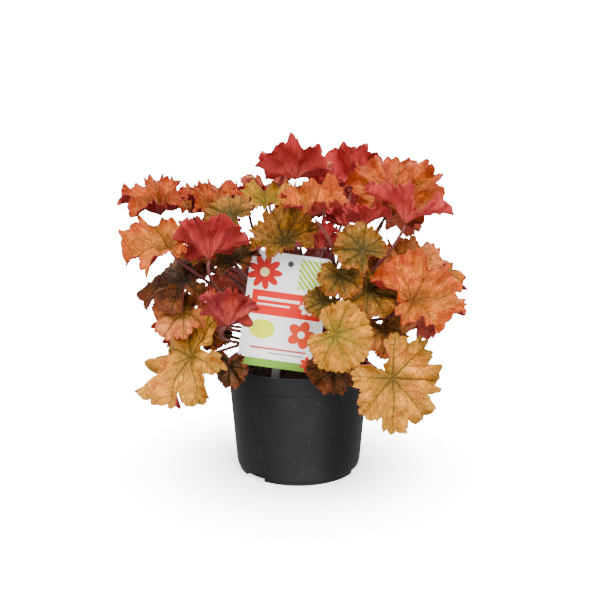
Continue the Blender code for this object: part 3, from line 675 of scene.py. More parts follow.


# Rows given Tone.OLIVE or Tone.BROWN are leaves in the plant's shade, and their darker tones are painted shade.
LEAVES: dict[str, LeafRow] = {
    name: LeafRow(*rest)
    for name, *rest in (
        ("leaf_01", (76, -100, 112), 48, 18, 68, 38, "flat", Tone.AMBER, 0.26),
        ("leaf_02", (95, -66, 167), 52, 20, 35, 95, "fan", Tone.GOLD, 0.62),
        ("leaf_03", (-72, -84, 207), 42, 182, 40, 180, "cup", Tone.CRIMSON, 0.55),
        ("leaf_04", (90, -52, 233), 52, 140, 18, 60, "cup", Tone.RED),
        ("leaf_10", (50, 62, 250), 53, 170, 50, 228, "fan", Tone.RED, 0.5),
        ("leaf_05", (76, -14, 245), 54, 5, 50, 165, "fan", Tone.ORANGE, 0.5),
        ("leaf_06", (30, -92, 146), 34, 352, 68, 68, "flat", Tone.YELLOW, 0.8),
        ("leaf_07", (-11, -66, 218), 37, 352, 44, 205, "fan", Tone.OLIVE, 0.5),
        ("leaf_08", (-57, -100, 156), 34, 172, 50, 172, "cup", Tone.GOLD, 0.5),
        ("leaf_09", (-3, 5, 266), 44, 176, 32, 192, "fan", Tone.RED, 0.62),
        ("leaf_11", (5, -66, 240), 38, 355, 18, 165, "cup", Tone.GOLD, 0.5),
        ("leaf_12", (-89, -72, 122), 54, 325, 46, 306, "arch", Tone.AMBER, 0.22),
        ("leaf_17", (-98, -38, 180), 48, 345, 20, 272, "arch", Tone.BROWN),
        ("leaf_16", (-90, -60, 158), 34, 345, 36, 285, "arch", Tone.PEACH),
        ("leaf_46", (-61, -60, 140), 26, 345, 50, 320, "arch", Tone.BROWN),
        ("leaf_47", (-74, -50, 133), 25, 340, 55, 30, "flat", Tone.ORANGE),
        ("leaf_13", (-120, -20, 236), 44, 345, 20, 250, "cup", Tone.ORANGE),
        ("leaf_14", (-73, -4, 235), 38, 352, 26, 185, "cup", Tone.ORANGE),
        ("leaf_15", (-102, -58, 211), 44, 350, 24, 262, "fan", Tone.GOLD),
        ("leaf_18", (52, -82, 213), 27, 10, 60, 215, "flat", Tone.OLIVE, 0.6),
        ("leaf_19", (94, -24, 188), 40, 15, 30, 140, "fan", Tone.PEACH),
        ("leaf_20", (129, 6, 184), 33, 40, 38, 80, "arch", Tone.GOLD),
        ("leaf_21", (73, -62, 144), 32, 20, 50, 30, "arch", Tone.PEACH, 0.6),
        ("leaf_22", (21, -78, 171), 18, 355, 50, 300, "flat", Tone.OLIVE, 0.6),
        ("leaf_23", (35, -60, 112), 29, 30, 72, 0, "arch", Tone.BROWN, 0.6),
        ("leaf_24", (52, -68, 178), 30, 10, 48, 30, "flat", Tone.OLIVE, 0.5),
        ("leaf_51", (36, -40, 186), 24, 5, 50, 10, "flat", Tone.OLIVE),
        ("leaf_25", (65, -22, 226), 33, 190, 24, 180, "cup", Tone.RED),
        ("leaf_26", (-29, 0, 243), 32, 350, 26, 195, "fan", Tone.YELLOW),
        ("leaf_27", (-56, -44, 237), 28, 340, 44, 250, "flat", Tone.OLIVE),
        ("leaf_28", (-47, 36, 237), 33, 180, 16, 150, "cup", Tone.RED),
        ("leaf_29", (26, 45, 257), 32, 200, 12, 10, "fan", Tone.ORANGE),
        ("leaf_30", (-3, -20, 234), 30, 0, 20, 190, "fan", Tone.BROWN),
        ("leaf_31", (46, -40, 228), 27, 200, 30, 150, "cup", Tone.RED),
        ("leaf_32", (-99, 34, 232), 36, 330, 18, 200, "cup", Tone.ORANGE),
        ("leaf_33", (-58, -62, 111), 21, 330, 70, 0, "arch", Tone.BROWN),
        ("leaf_34", (-118, 34, 178), 38, 255, 44, 0, "arch", Tone.OLIVE),
        ("leaf_35", (-84, 84, 208), 40, 222, 36, 10, "fan", Tone.ORANGE),
        ("leaf_36", (-30, 78, 246), 38, 195, 26, 350, "cup", Tone.AMBER),
        ("leaf_37", (34, 102, 226), 40, 165, 36, 10, "fan", Tone.ORANGE),
        ("leaf_38", (84, 72, 222), 40, 130, 36, 350, "fan", Tone.AMBER),
        ("leaf_39", (-66, 104, 158), 42, 212, 50, 355, "arch", Tone.PEACH),
        ("leaf_40", (2, 118, 176), 42, 182, 48, 8, "arch", Tone.OLIVE),
        ("leaf_41", (72, 104, 160), 42, 145, 50, 0, "arch", Tone.AMBER),
        ("leaf_42", (112, 66, 132), 38, 118, 52, 5, "arch", Tone.PEACH),
        ("leaf_43", (-24, 92, 124), 36, 195, 54, 0, "flat", Tone.BROWN),
        ("leaf_44", (-104, 56, 124), 38, 240, 52, 5, "arch", Tone.AMBER),
        ("leaf_45", (-55, -45, 198), 27, 350, 45, 200, "fan", Tone.BROWN),
        ("leaf_48", (18, -28, 207), 28, 175, 40, 180, "cup", Tone.RED),
        ("leaf_49", (72, -36, 186), 27, 10, 40, 200, "fan", Tone.ORANGE),
        ("leaf_50", (62, -12, 150), 22, 185, 35, 180, "cup", Tone.RED),
        ("leaf_52", (-88, -12, 199), 26, 350, 40, 250, "fan", Tone.OLIVE),
    )
}


def axes_of(facing: float, lean: float, turn: float) -> Matrix:
    """Works out a blade's own axes.

    Args:
        facing: Compass turn in degrees of the way the upper face looks, 0 to the front.
        lean: Degrees by which the upper face leans that way from straight up.
        turn: Degrees by which the middle lobe is turned from straight downhill.

    Returns:
        Columns: across the blade, along its middle lobe, and out of its upper face.
    """
    facing, lean = math.radians(facing), math.radians(lean)
    outward = Vector((math.sin(facing), -math.cos(facing), 0.0))
    normal = outward * math.sin(lean) + Vector((0, 0, math.cos(lean)))
    downhill = outward * math.cos(lean) - Vector((0, 0, math.sin(lean)))
    along = Matrix.Rotation(math.radians(turn), 3, normal) @ downhill
    return Matrix((along.cross(normal), along, normal)).transposed()


@dataclass
class Leaf:
    """One leaf of the plant: its blade and its stalk.

    The depths of teeth, frill, swellings and crumple are shares of the leaf's length. So is the crest: what reaches
    past it is drawn in by the share "blunt". The blade's thickness and the spacing of its swellings are millimetres.
    """

    name: str
    row: LeafRow
    around: int = 320
    outward: int = 13
    crowding: float = 0.85
    thickness: float = 0.55
    stalk_sides: int = 10
    stalk_steps: int = 26
    stalk_start: float = 0.012
    teeth: int = 17
    tooth_depth: float = 0.07
    small_teeth: float = 39.1
    small_tooth_depth: float = 0.018
    crest: float = 0.86
    blunt: float = 0.55
    frill: float = 0.046
    pucker: float = 0.012
    pucker_spacing: float = 7.5
    crumple: float = 0.135
    small_crumple: float = 0.06075

    def __post_init__(self) -> None:
        """Draws the leaf's own lobes and waves, in the order that the CAD leaf draws them."""
        self.joint = Vector(self.row.joint)
        self.length = self.row.length
        self.base, self.bow = Vector(), Vector()
        self.axes = axes_of(self.row.facing, self.row.lean, self.row.turn)
        self.inner, self.rim, self.droop, self.ruffle = FORMS[self.row.form]
        draw = random.Random(self.name)
        self.lobes = [LOBE_LENGTHS[abs(k)] * draw.uniform(0.93, 1.07) for k in range(-3, 4)]
        self.sinuses = [SINUS * draw.uniform(0.82, 1.18) for _ in range(8)]
        self.waves = [
            (2, draw.uniform(0.05, 0.12), draw.uniform(0, math.tau)),
            (3, draw.uniform(0.05, 0.10), draw.uniform(0, math.tau)),
            (5, draw.uniform(0.02, 0.06), draw.uniform(0, math.tau)),
        ]
        self.frills = [(n, draw.uniform(0.5, 1.0), draw.uniform(0, math.tau)) for n in (7, 11, 17, 26)]
        self.seed = draw.uniform(0, 100)
        self.tint = draw.random()

    def angle_at(self, column: float) -> float:
        """The angle of one of the blade's columns, in radians from the middle lobe."""
        return (column / self.around - 0.5) * math.tau

    def lobe_place(self, angle: float) -> tuple[int, float]:
        """The lobe's number from -3 to 3 at an angle, and how far across it the angle is, -1 to 1 within it."""
        lobe = max(-3, min(3, round(angle / LOBE_STEP)))
        return lobe, (angle - lobe * LOBE_STEP) / (LOBE_STEP / 2)

    def outline(self, angle: float) -> float:
        """Distance from the stalk to the edge by the CAD leaf's rule.

        Args:
            angle: Angle from the middle lobe in radians.

        Returns:
            The distance as a share of the leaf's length.
        """
        lobe, u = self.lobe_place(angle)
        size = self.lobes[lobe + 3]
        if abs(u) > 1:
            edge = size * self.sinuses[0]
            return edge + (BACK_GAP - edge) * min(1.0, abs(u) - 1) ** 0.7
        beside = lobe + (1 if u > 0 else -1)
        near = self.lobes[max(0, min(6, beside + 3))]
        depth = self.sinuses[lobe + 3 + (1 if u > 0 else 0)]
        sinus = depth * (size + near) / 2 if abs(beside) < 4 else size * self.sinuses[0]
        bumps = 1.5 if abs(lobe) < 3 else 1.0
        tooth = abs(math.cos(math.pi * bumps * u)) ** 0.8
        return sinus + (size - sinus) * (1 - abs(u) ** 3) + size * TOOTH * (tooth - 0.5)

    def fine_outline(self, angle: float) -> float:
        """The CAD leaf's edge with rounder gaps between its lobes, and with blunt lobes and teeth.

        Args:
            angle: Angle from the middle lobe in radians.

        Returns:
            The distance as a share of the leaf's length.
        """
        edge = self.outline(angle)
        lobe, u = self.lobe_place(angle)
        beside = lobe + (1 if u > 0 else -1)
        if abs(u) <= 1 and abs(beside) < 4:
            size = self.lobes[lobe + 3]
            full = size + (self.lobes[beside + 3] - size) * abs(u) / 2
            edge += self.row.fill * max(0.0, full - edge)
        edge -= self.blunt * max(0.0, edge - self.crest)
        swing = 0.7 * math.sin(3 * angle + self.seed) + 0.4 * math.sin(5 * angle + 2 * self.seed)
        tooth = abs(math.sin(self.teeth * angle + swing)) ** 0.55
        small = abs(math.sin(self.small_teeth * angle + 2 * swing)) ** 0.6
        share = min(1.0, edge / 0.5)
        return edge + share * (self.tooth_depth * (tooth - 0.72) + self.small_tooth_depth * (small - 0.6))

    def surface(self, angle: float, reach: float, more: float = 0.0) -> Vector:
        """A point of the blade in the leaf's own axes, on the CAD leaf's form or lifted off it.

        Args:
            angle: Angle from the middle lobe in radians.
            reach: Distance out from the stalk as a share of the leaf's length.
            more: Lift out of the blade as a share of the leaf's length.

        Returns:
            The point as a share of the leaf's length.
        """
        start = math.radians(self.inner)
        bend = math.radians(self.rim - self.inner - self.droop * math.cos(angle))
        slope = start + bend * reach
        if abs(bend) < 1e-4:
            out, up = reach * math.cos(start), reach * math.sin(start)
        else:
            out = (math.sin(slope) - math.sin(start)) / bend
            up = (math.cos(start) - math.cos(slope)) / bend
        lift = more - self.ruffle * math.cos(angle * math.tau / LOBE_STEP) * reach ** 1.6
        lift += sum(size * math.sin(n * angle + turn) for n, size, turn in self.waves) * reach ** 1.8
        out -= lift * math.sin(slope)
        up += lift * math.cos(slope)
        return Vector((out * math.sin(angle), out * math.cos(angle), up))

    def living(self, angle: float, reach: float, share: float) -> float:
        """Lift of the living leaf over the CAD leaf's form: frilled edge, swollen tissue and a slow crumple.

        Args:
            angle: Angle from the middle lobe in radians.
            reach: Distance out from the stalk as a share of the leaf's length.
            share: Share of the way out to the edge.

        Returns:
            The lift as a share of the leaf's length.
        """
        wave = sum(size * math.sin(n * angle + turn) for n, size, turn in self.frills)
        lift = self.frill * wave * share ** 3
        _, u = self.lobe_place(angle)
        side = abs(u) * LOBE_STEP / 2 * reach
        puff = abs(math.sin(math.pi * (reach - 0.9 * side) * self.length / self.pucker_spacing))
        lift += self.pucker * puff * min(1.0, side * 8) * (1 - share ** 8)
        place = Vector((math.sin(angle), math.cos(angle), 0)) * reach
        lift += self.crumple * noise.noise(place * 3.2 + Vector((0, 0, self.seed))) * min(1.0, 3 * reach)
        return lift + self.small_crumple * noise.noise(place * 8.0 + Vector((0, 0, self.seed + 7))) * share

    def path(self, steps: int, start: float) -> tuple[list[Vector], Vector]:
        """Works out the line of the stalk.

        Args:
            steps: Points on its curve.
            start: Share of the curve that is left out below the blade.

        Returns:
            Points down the stalk to the crown, and the direction in which it meets the blade.
        """
        top = self.joint
        foot = self.base + Vector((0, 0, SOCKET_DEPTH + 1.5))
        reach = (top - foot).length
        low = 1 - min(1.0, (top.z - foot.z) / STALK_FALL)
        end = self.axes.col[2] * 0.75 + (top - foot).normalized() * 0.6
        end.z *= 1 - low
        end.normalize()
        rise = foot + Vector((0, 0, reach * (0.36 + 0.25 * low))) + self.bow * 0.4
        arrive = top - end * reach * 0.30 + self.bow
        points = []
        for i in range(steps):
            t = start + (1 - start) * i / (steps - 1)
            a, b, c, d = t ** 3, 3 * t * t * (1 - t), 3 * t * (1 - t) ** 2, (1 - t) ** 3
            points.append(a * foot + b * rise + c * arrive + d * top)
        return points + [self.base.copy()], end

    def shifts(self) -> Iterator[tuple[float, Vector]]:
        """Each way in which the CAD leaf's blade could have given way.

        Yields:
            Its shrinking and its shift.
        """
        home = Vector(self.row.joint)
        sight = (VIEWER - home).normalized() if home.y < 40 else home.normalized()
        aside = sight.cross(Vector((0, 0, 1))).normalized()
        for shrink in SHRINKS:
            for side in SIDE_SHIFTS:
                for depth in DEPTH_SHIFTS:
                    yield shrink, sight * -depth + aside * side

    def bows(self) -> Iterator[Vector]:
        """Each bow that the CAD leaf's stalk could have taken.

        Yields:
            The bow: sideways or upwards, or none.
        """
        yield Vector()
        for size in BOWS:
            for i in range(BOW_TURNS):
                angle = math.tau * i / BOW_TURNS
                yield Vector((math.cos(angle), math.sin(angle), 0)) * size
            yield Vector((0, 0, size))

    def read_place(self) -> None:
        """Finds from the CAD node how small the leaf became, where its blade went and how its stalk bows."""
        places = [v.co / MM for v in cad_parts[self.name].data.vertices]
        tree = kdtree.KDTree(len(places))
        for index, place in enumerate(places):
            tree.insert(place, index)
        tree.balance()
        inner = [place for place in places if place.xy.length < CROWN_REACH]
        lowest = min(place.z for place in inner)
        feet = {tuple(round(c, 2) for c in place) for place in inner if place.z < lowest + 0.02}
        self.base = sum((Vector(foot) for foot in feet), Vector()) / len(feet)
        home, full = Vector(self.row.joint), self.length
        rim = [self.surface(k * LOBE_STEP, self.outline(k * LOBE_STEP)) * full for k in range(-3, 4)]

        def misfit(way: tuple[float, Vector]) -> float:
            """How far the lobes' tips are from the CAD node's points."""
            return sum(tree.find(home + way[1] + self.axes @ (tip * way[0]))[2] for tip in rim)

        def stray(bow: Vector) -> float:
            """How far the stalk's points are from the middle of the CAD node's rings.

            Args:
                bow: The bow that is tried, which the leaf then has.

            Returns:
                The sum of the distances.
            """
            self.bow = bow
            points, _ = self.path(CAD_STALK_STEPS, STALK_START)
            thick = [STALK_RADIUS * (1.0 + 0.2 * i / len(points)) for i in range(len(points))]
            return sum(abs(tree.find(point)[2] - size) for point, size in zip(points, thick))

        best = min(self.shifts(), key=misfit)
        self.length = full * best[0]
        self.joint = home + best[1]
        self.bow = min(self.bows(), key=stray)
        log.info(
            "%s misfit %.2f, length %.1f, bow %s, stray %.2f",
            self.name, misfit(best), self.length, tuple(round(c) for c in self.bow), stray(self.bow),
        )

    def add_stalk(self, bm: BMesh) -> None:
        """Adds the stalk: a circle that is extruded from the blade down to the crown, thicker at both ends.

        Args:
            bm: The leaf's mesh, still empty.
        """
        points, end = self.path(self.stalk_steps, self.stalk_start)
        spoke = self.axes.col[1].copy()
        ahead = -self.axes.col[2]
        ring = bmesh.ops.create_circle(bm, cap_ends=True, segments=self.stalk_sides, radius=1.0)["verts"]
        edges = [edge for edge in bm.edges if edge.is_boundary]
        last = Matrix.Identity(4)
        for i, point in enumerate(points):
            turned_to = -end if i == 0 else points[min(i + 1, len(points) - 1)] - points[i - 1]
            if i >= len(points) - 2:
                turned_to = Vector((0, 0, -1))
            spoke.rotate(ahead.rotation_difference(turned_to))
            ahead = turned_to.normalized()
            t = i / (len(points) - 1)
            thick = STALK_RADIUS * (0.45 if i == 0 else 1.0 + 0.2 * t + 0.25 * self.length / 54 * (1 - t) ** 12)
            turn = Matrix((spoke, ahead.cross(spoke), ahead)).transposed().to_4x4()
            place = Matrix.Translation(point) @ turn @ Matrix.Scale(thick, 4)
            if i:
                made = bmesh.ops.extrude_edge_only(bm, edges=edges)["geom"]
                ring = [part for part in made if isinstance(part, BMVert)]
                edges = [part for part in made if isinstance(part, BMEdge) and part.is_boundary]
            bmesh.ops.transform(bm, matrix=place @ last.inverted(), verts=ring)
            last = place
        bmesh.ops.edgeloop_fill(bm, edges=edges)
        for face in bm.faces:
            face.material_index = 2

    def add_blade(self, bm: BMesh) -> None:
        """Adds the blade: a grid bent round the stalk, given its form, then thickened downwards.

        Args:
            bm: The leaf's mesh.
        """
        ribs = bm.loops.layers.uv.new("ribs")
        flat = bm.loops.layers.uv.new("flat")
        edge_map = bm.loops.layers.uv.new("edge")
        upward = bm.verts.layers.float_vector.new("upward")
        grid = bmesh.ops.create_grid(bm, x_segments=self.around, y_segments=self.outward, size=0.5)["verts"]
        edges = [self.fine_outline(self.angle_at(column)) for column in range(self.around + 1)]
        spots: dict[BMVert, tuple[int, float, float]] = {}
        for vert in grid:
            column = round((vert.co.x + 0.5) * self.around)
            angle = self.angle_at(column)
            share = (vert.co.y + 0.5) ** self.crowding
            reach = share * edges[column]
            spots[vert] = (column, share, reach)
            vert.co = self.surface(angle, reach, self.living(angle, reach, share)) * self.length
        upper = {face for vert in grid for face in vert.link_faces}
        for face in upper:
            lobe, _ = self.lobe_place(self.angle_at(sum(spots[vert][0] for vert in face.verts) / 4))
            for loop in face.loops:
                column, share, reach = spots[loop.vert]
                angle = self.angle_at(column)
                off = angle - lobe * LOBE_STEP
                out = reach * self.length / 100
                loop[ribs].uv = (out * math.sin(off), out * math.cos(off))
                loop[flat].uv = (out * math.sin(angle), out * math.cos(angle))
                loop[edge_map].uv = (share, self.tint)
        self.close_round(bm, spots)
        bm.normal_update()
        if sum(face.normal.z * face.calc_area() for face in upper) < 0:
            bmesh.ops.reverse_faces(bm, faces=list(upper))
            bm.normal_update()
        verts = {vert for face in upper for vert in face.verts}
        rims = {edge for face in upper for edge in face.edges}
        for vert in verts:
            vert[upward] = vert.normal
        made = bmesh.ops.extrude_face_region(bm, geom=[*verts, *rims, *upper], use_keep_orig=True)["geom"]
        below = {part for part in made if isinstance(part, BMVert)}
        for vert in below:
            vert.co -= vert[upward] * self.thickness
        for face in bm.faces:
            if face in upper or face.material_index == 2:
                continue
            face.material_index = 1
            if any(vert not in below for vert in face.verts):
                for edge in face.edges:
                    edge.smooth = False
        place = Matrix.Translation(self.joint) @ self.axes.to_4x4()
        bmesh.ops.transform(bm, matrix=place, verts=[*verts, *below])
        bm.verts.layers.float_vector.remove(upward)

    def close_round(self, bm: BMesh, spots: dict[BMVert, tuple[int, float, float]]) -> None:
        """Welds the grid's first column to its last, and its innermost row into one point.

        Args:
            bm: The leaf's mesh.
            spots: Column, share and reach of each of the grid's vertices.
        """
        first = {share: vert for vert, (column, share, _) in spots.items() if column == 0}
        welds = {vert: first[share] for vert, (column, share, _) in spots.items() if column == self.around}
        middle = [vert for vert, (column, share, _) in spots.items() if share == 0.0 and column < self.around]
        welds = {vert: middle[0] if target in middle else target for vert, target in welds.items()}
        welds.update({vert: middle[0] for vert in middle[1:]})
        bmesh.ops.weld_verts(bm, targetmap=welds)

    def build(self, materials: list[Material]) -> Object:
        """Makes the leaf.

        Args:
            materials: Upper face, lower face and stalk.

        Returns:
            The piece that replaces the CAD leaf.
        """
        self.read_place()
        bm = bmesh.new()
        self.add_stalk(bm)
        self.add_blade(bm)
        return finished("fine_" + self.name, bm, materials, self.name)


@dataclass
class Pot:
    """The nursery pot, finer than its CAD node and of the same size."""

    height: float = 101.0
    rim_radius: float = 65.0
    band_bottom: float = 85.5
    top_radius: float = 64.2
    low_radius: float = 57.7
    wall: float = 1.3
    foot_radius: float = 55.3
    foot_height: float = 3.2
    foot_width: float = 4.0
    notches: int = 3
    notch_width: float = 24.0
    notch_start: float = math.radians(224.0)
    disc_radius: float = 27.0
    channel_height: float = 4.5
    drains: int = 6
    drain_radius: float = 4.5
    drain_circle: float = 39.5
    steps: int = 144

    def profile(self) -> list[tuple[float, float]]:
        """Draws the wall's section.

        Returns:
            Points (radius, height) from the middle of the base's inside to that of its underside.
        """
        inner = self.foot_radius - self.foot_width
        return rounded([
            (0, self.wall, 0), (self.disc_radius, self.wall, 1),
            (self.disc_radius + 2, self.channel_height + self.wall, 1),
            (self.low_radius - 3, self.channel_height + self.wall, 1.5),
            (self.top_radius - self.wall, self.band_bottom, 1.5), (self.rim_radius - self.wall, self.height, 0.5),
            (self.rim_radius, self.height, 0.6), (self.rim_radius, self.band_bottom, 0.4),
            (self.top_radius, self.band_bottom - 0.6, 0.3), (self.low_radius, 8.0, 3.5),
            (self.low_radius - 0.9, self.foot_height + 0.8, 0.6), (self.foot_radius, self.foot_height, 0.4),
            (self.foot_radius, 0, 0.5), (inner, 0, 0.4), (inner - 1, self.channel_height, 0.8),
            (self.disc_radius + 3, self.channel_height, 0.8), (self.disc_radius + 0.5, 0, 0.6), (0, 0, 0),
        ])

    def drain_tool(self) -> BMesh:
        """Makes the cylinders that cut the drain holes.

        Returns:
            The tool.
        """
        bm = bmesh.new()
        for i in range(self.drains):
            angle = i * math.tau / self.drains
            place = (self.drain_circle * math.cos(angle), self.drain_circle * math.sin(angle), 5)
            bmesh.ops.create_cone(
                bm, cap_ends=True, segments=24, radius1=self.drain_radius, radius2=self.drain_radius, depth=14,
                matrix=Matrix.Translation(place),
            )
        return bm

    def notch_tool(self) -> BMesh:
        """Makes the blocks that cut the foot ring's notches.

        Returns:
            The tool.
        """
        bm = bmesh.new()
        for i in range(self.notches):
            turn = Matrix.Rotation(self.notch_start + i * math.tau / self.notches, 4, "Z")
            place = Matrix.Translation((self.foot_radius - self.foot_width / 2, 0, 0))
            size = Matrix.Diagonal((self.foot_width + 4, self.notch_width, 2 * (self.foot_height - 0.4), 1))
            bmesh.ops.create_cube(bm, size=1.0, matrix=turn @ place @ size)
        return bm

    def cut(self, piece: Object, bm: BMesh) -> None:
        """Cuts a tool out of a piece.

        Args:
            piece: What is cut.
            bm: The tool in millimetres, which is freed.
        """
        cutter = placed("cutter", bm)
        boolean = piece.modifiers.new("cut", "BOOLEAN")
        boolean.operation = "DIFFERENCE"
        boolean.solver = "EXACT"
        boolean.object = cutter
        bpy.context.view_layer.update()
        result = bpy.data.meshes.new_from_object(piece.evaluated_get(bpy.context.evaluated_depsgraph_get()))
        piece.modifiers.clear()
        piece.data = result
        bpy.data.objects.remove(cutter)

    def build(self) -> Object:
        """Spins the wall, cuts the drain holes and the notches, and keeps the sharp edges crisp.

        Returns:
            The piece that replaces the CAD pot.
        """
        bm = bmesh.new()
        spun(bm, self.profile(), self.steps)
        piece = finished("pot_wall", bm, [POT_PLASTIC.material()], "pot")
        self.cut(piece, self.drain_tool())
        self.cut(piece, self.notch_tool())
        piece.data.shade_smooth()
        split = piece.modifiers.new("crisp_edges", "EDGE_SPLIT")
        split.split_angle = math.radians(38)
        return piece


@dataclass
class Soil:
    """Peat mix with a crumbly top."""

    top: float = 89.0
    low: float = 6.4
    edge_radius: float = 62.6
    low_radius: float = 52.3
    pit_radius: float = 31.4
    pit_depth: float = 14.0
    crumbs: int = 900
    rings: int = 12
    steps: int = 96

    def build(self) -> Object:
        """Spins the soil, roughens its top and strews crumbs on it.

        Returns:
            The piece that replaces the CAD soil.
        """
        pit = self.top - self.pit_depth
        profile = [(0, pit), (self.pit_radius, pit), (self.pit_radius, self.top + 1.5)]
        span = self.edge_radius - self.pit_radius - 0.6
        profile += [(self.pit_radius + 0.6 + span * i / self.rings, self.top) for i in range(self.rings + 1)]
        profile += [(self.low_radius, self.low), (0, self.low)]
        bm = bmesh.new()
        spun(bm, profile, self.steps)
        for vert in bm.verts:
            if vert.co.z > self.top - 1 and vert.co.xy.length < self.edge_radius - 0.5:
                vert.co.z += 1.8 * noise.noise(vert.co * 0.22) - 0.4
        draw = random.Random(3)
        for _ in range(self.crumbs):
            radius = math.sqrt(draw.uniform((self.pit_radius + 1.6) ** 2, (self.edge_radius - 2.5) ** 2))
            angle = draw.uniform(0, math.tau)
            height = self.top + draw.uniform(-0.6, 0.7)
            place = Matrix.Translation((radius * math.cos(angle), radius * math.sin(angle), height))
            size = draw.uniform(0.5, 1.6)
            shape = Matrix.Diagonal((size, size * draw.uniform(0.5, 1.0), size * draw.uniform(0.4, 0.8), 1))
            turn = Matrix.Rotation(angle * 3, 4, "Z")
            bmesh.ops.create_icosphere(bm, subdivisions=1, radius=1.0, matrix=place @ turn @ shape)
        return finished("soil_mix", bm, [PEAT.material()], "soil")


@dataclass
class Crown:
    """Low woody mound that the stalks stand in."""

    radius: float = 31.0
    edge: float = 91.0
    top: float = 101.0
    rings: int = 14
    steps: int = 72

    def build(self) -> Object:
        """Spins the mound and roughens it.

        Returns:
            The piece that replaces the CAD crown.
        """
        profile = [(0, self.top)]
        for i in range(1, self.rings + 1):
            share = i / self.rings
            profile.append((self.radius * share, self.edge + (self.top - self.edge) * (1 - share * share)))
        profile += [(self.radius, self.edge - 12), (0, self.edge - 15)]
        bm = bmesh.new()
        spun(bm, profile, self.steps)
        for vert in bm.verts:
            if vert.co.z > self.edge + 0.5:
                vert.co.z += 0.9 * noise.noise(vert.co * 0.35) + 0.5 * noise.noise(vert.co * 0.9)
        return finished("crown_mound", bm, [OLD_WOOD.material()], "crown")


@dataclass
class Label:
    """The printed card and its stake, which keep their CAD shapes."""

    card: str = "label_card"
    stake: str = "label_stake"

    def dress(self) -> None:
        """Gives both their finishes."""
        card = surfaced("laminated_card", PrintedCard().inputs)
        for name, material in ((self.card, card), (self.stake, STAKE_PLASTIC.material())):
            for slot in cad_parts[name].material_slots:
                slot.material = material
            log.info("%s: dressed", name)


@dataclass(frozen=True)
class Lamp:
    """A distant soft light: the side it shines from, its spread in degrees and its strength."""

    name: str
    side: tuple[float, float, float]
    spread: float
    power: float


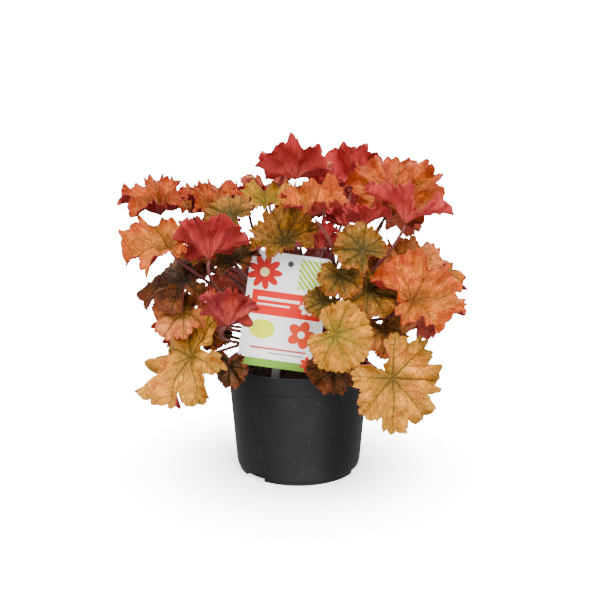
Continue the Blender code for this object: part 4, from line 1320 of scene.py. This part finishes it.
@dataclass
class Studio:
    """Pale floor, soft studio light and the photograph's camera."""

    floor_size: float = 4000.0
    floor_drop: float = 0.5
    floor_glow: float = 17.0
    cloth_glow: float = 20.0
    ambient: float = 0.6
    camera_place: tuple[float, float, float] = (1.4, -775.0, 312.0)
    camera_pitch: float = math.radians(-11.33)
    camera_lens: float = 52.05
    lamps: tuple[Lamp, ...] = (
        Lamp("key", (0.45, -1.0, 1.4), 45.0, 7.6),
        Lamp("fill", (-1.3, -0.9, 0.7), 60.0, 2.6),
        Lamp("back", (0.2, 1.2, 1.3), 60.0, 1.6),
        Lamp("bounce", (0.1, -1.0, -0.7), 70.0, 2.0),
    )

    def paper(self, tree: NodeTree, place: NodeSocket) -> dict[str, Any]:
        """White paper whose glow is weak beside the pot, so that the pot's own shadow stays under it; the glow's slow
        rise from 0.045 m to 0.22 m out is a painted shadow round the pot.

        Args:
            tree: The material's node tree.
            place: The place on the object.

        Returns:
            The shader's inputs.
        """
        out = add(tree, "VectorMath", (place,), operation="LENGTH")
        # Glow rising from a tenth at 0.045 m to full at 0.22 m from the pot's middle: a painted shadow round the pot
        glow = {"Value": out, "From Min": 0.045, "From Max": 0.22, "To Min": 0.10}
        return {
            "Base Color": linear("FCF7F5"), "Roughness": 0.9, "Specular IOR Level": 0.1,
            "Emission Color": add(tree, "MapRange", glow, interpolation_type="SMOOTHSTEP"),
            "Emission Strength": self.floor_glow,
        }

    def cloth(self, tree: NodeTree, place: NodeSocket) -> dict[str, Any]:
        """Lit white cloth, as bright as the floor and even all over.

        Args:
            tree: The material's node tree.
            place: The place on the object.

        Returns:
            The shader's inputs.
        """
        glow = {"Emission Color": linear("FFFFFF"), "Emission Strength": self.cloth_glow}
        return {"Base Color": linear("000000"), **glow}

    def surround(self) -> None:
        """Sets up the floor and the cloth all round, which only the camera sees."""
        floor, cloth = bmesh.new(), bmesh.new()
        bmesh.ops.create_grid(floor, x_segments=1, y_segments=1, size=self.floor_size)
        bmesh.ops.translate(floor, verts=floor.verts[:], vec=(0, 0, -self.floor_drop))
        bmesh.ops.create_icosphere(cloth, subdivisions=4, radius=self.floor_size * 0.97)
        bmesh.ops.reverse_faces(cloth, faces=cloth.faces[:])
        for thing in (
            placed("floor", floor, [surfaced("white_paper", self.paper)]),
            placed("white_surround", cloth, [surfaced("lit_white_cloth", self.cloth)]),
        ):
            thing.visible_diffuse = thing.visible_glossy = thing.visible_transmission = False
            thing.visible_shadow = False

    def light(self) -> None:
        """Sets up the sky's even light and the lamps."""
        world = bpy.data.worlds.new("studio")
        world.use_nodes = True
        background = world.node_tree.nodes["Background"]
        background.inputs["Color"].default_value = (1.0, 0.99, 0.98, 1.0)
        background.inputs["Strength"].default_value = self.ambient
        bpy.context.scene.world = world
        for lamp in self.lamps:
            light = bpy.data.lights.new(lamp.name, "SUN")
            light.energy = lamp.power
            light.angle = math.radians(lamp.spread)
            holder = bpy.data.objects.new(lamp.name, light)
            holder.location = lamp.side
            holder.rotation_euler = (-Vector(lamp.side)).to_track_quat("-Z", "Y").to_euler()
            bpy.context.scene.collection.objects.link(holder)

    def camera(self) -> None:
        """Places the camera, fitted to the pot's rim and base in the photograph."""
        camera = bpy.data.cameras.new("photo_camera")
        camera.lens = self.camera_lens
        camera.sensor_width = 36.0
        camera.clip_start = 0.01
        holder = bpy.data.objects.new("photo_camera", camera)
        holder.location = Vector(self.camera_place) * MM
        holder.rotation_euler = (math.radians(90) + self.camera_pitch, 0, 0)
        bpy.context.scene.collection.objects.link(holder)
        bpy.context.scene.camera = holder

    def build(self) -> None:
        """Sets up the whole stage."""
        self.surround()
        self.light()
        self.camera()


def main() -> None:
    """Builds every piece and the stage."""
    stalk = STALK.material()
    upper = {tone: surfaced("heuchera_leaf_upper_" + tone.name.lower(), tone.value.upper) for tone in Tone}
    lower = {tone: surfaced("heuchera_leaf_under_" + tone.name.lower(), tone.value.lower) for tone in Tone}
    for name, row in LEAVES.items():
        Leaf(name, row).build([upper[row.tone], lower[row.tone], stalk])
    Pot().build()
    Soil().build()
    Crown().build()
    Label().dress()
    Studio().build()
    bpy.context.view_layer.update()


if __name__ == "__main__":
    main()
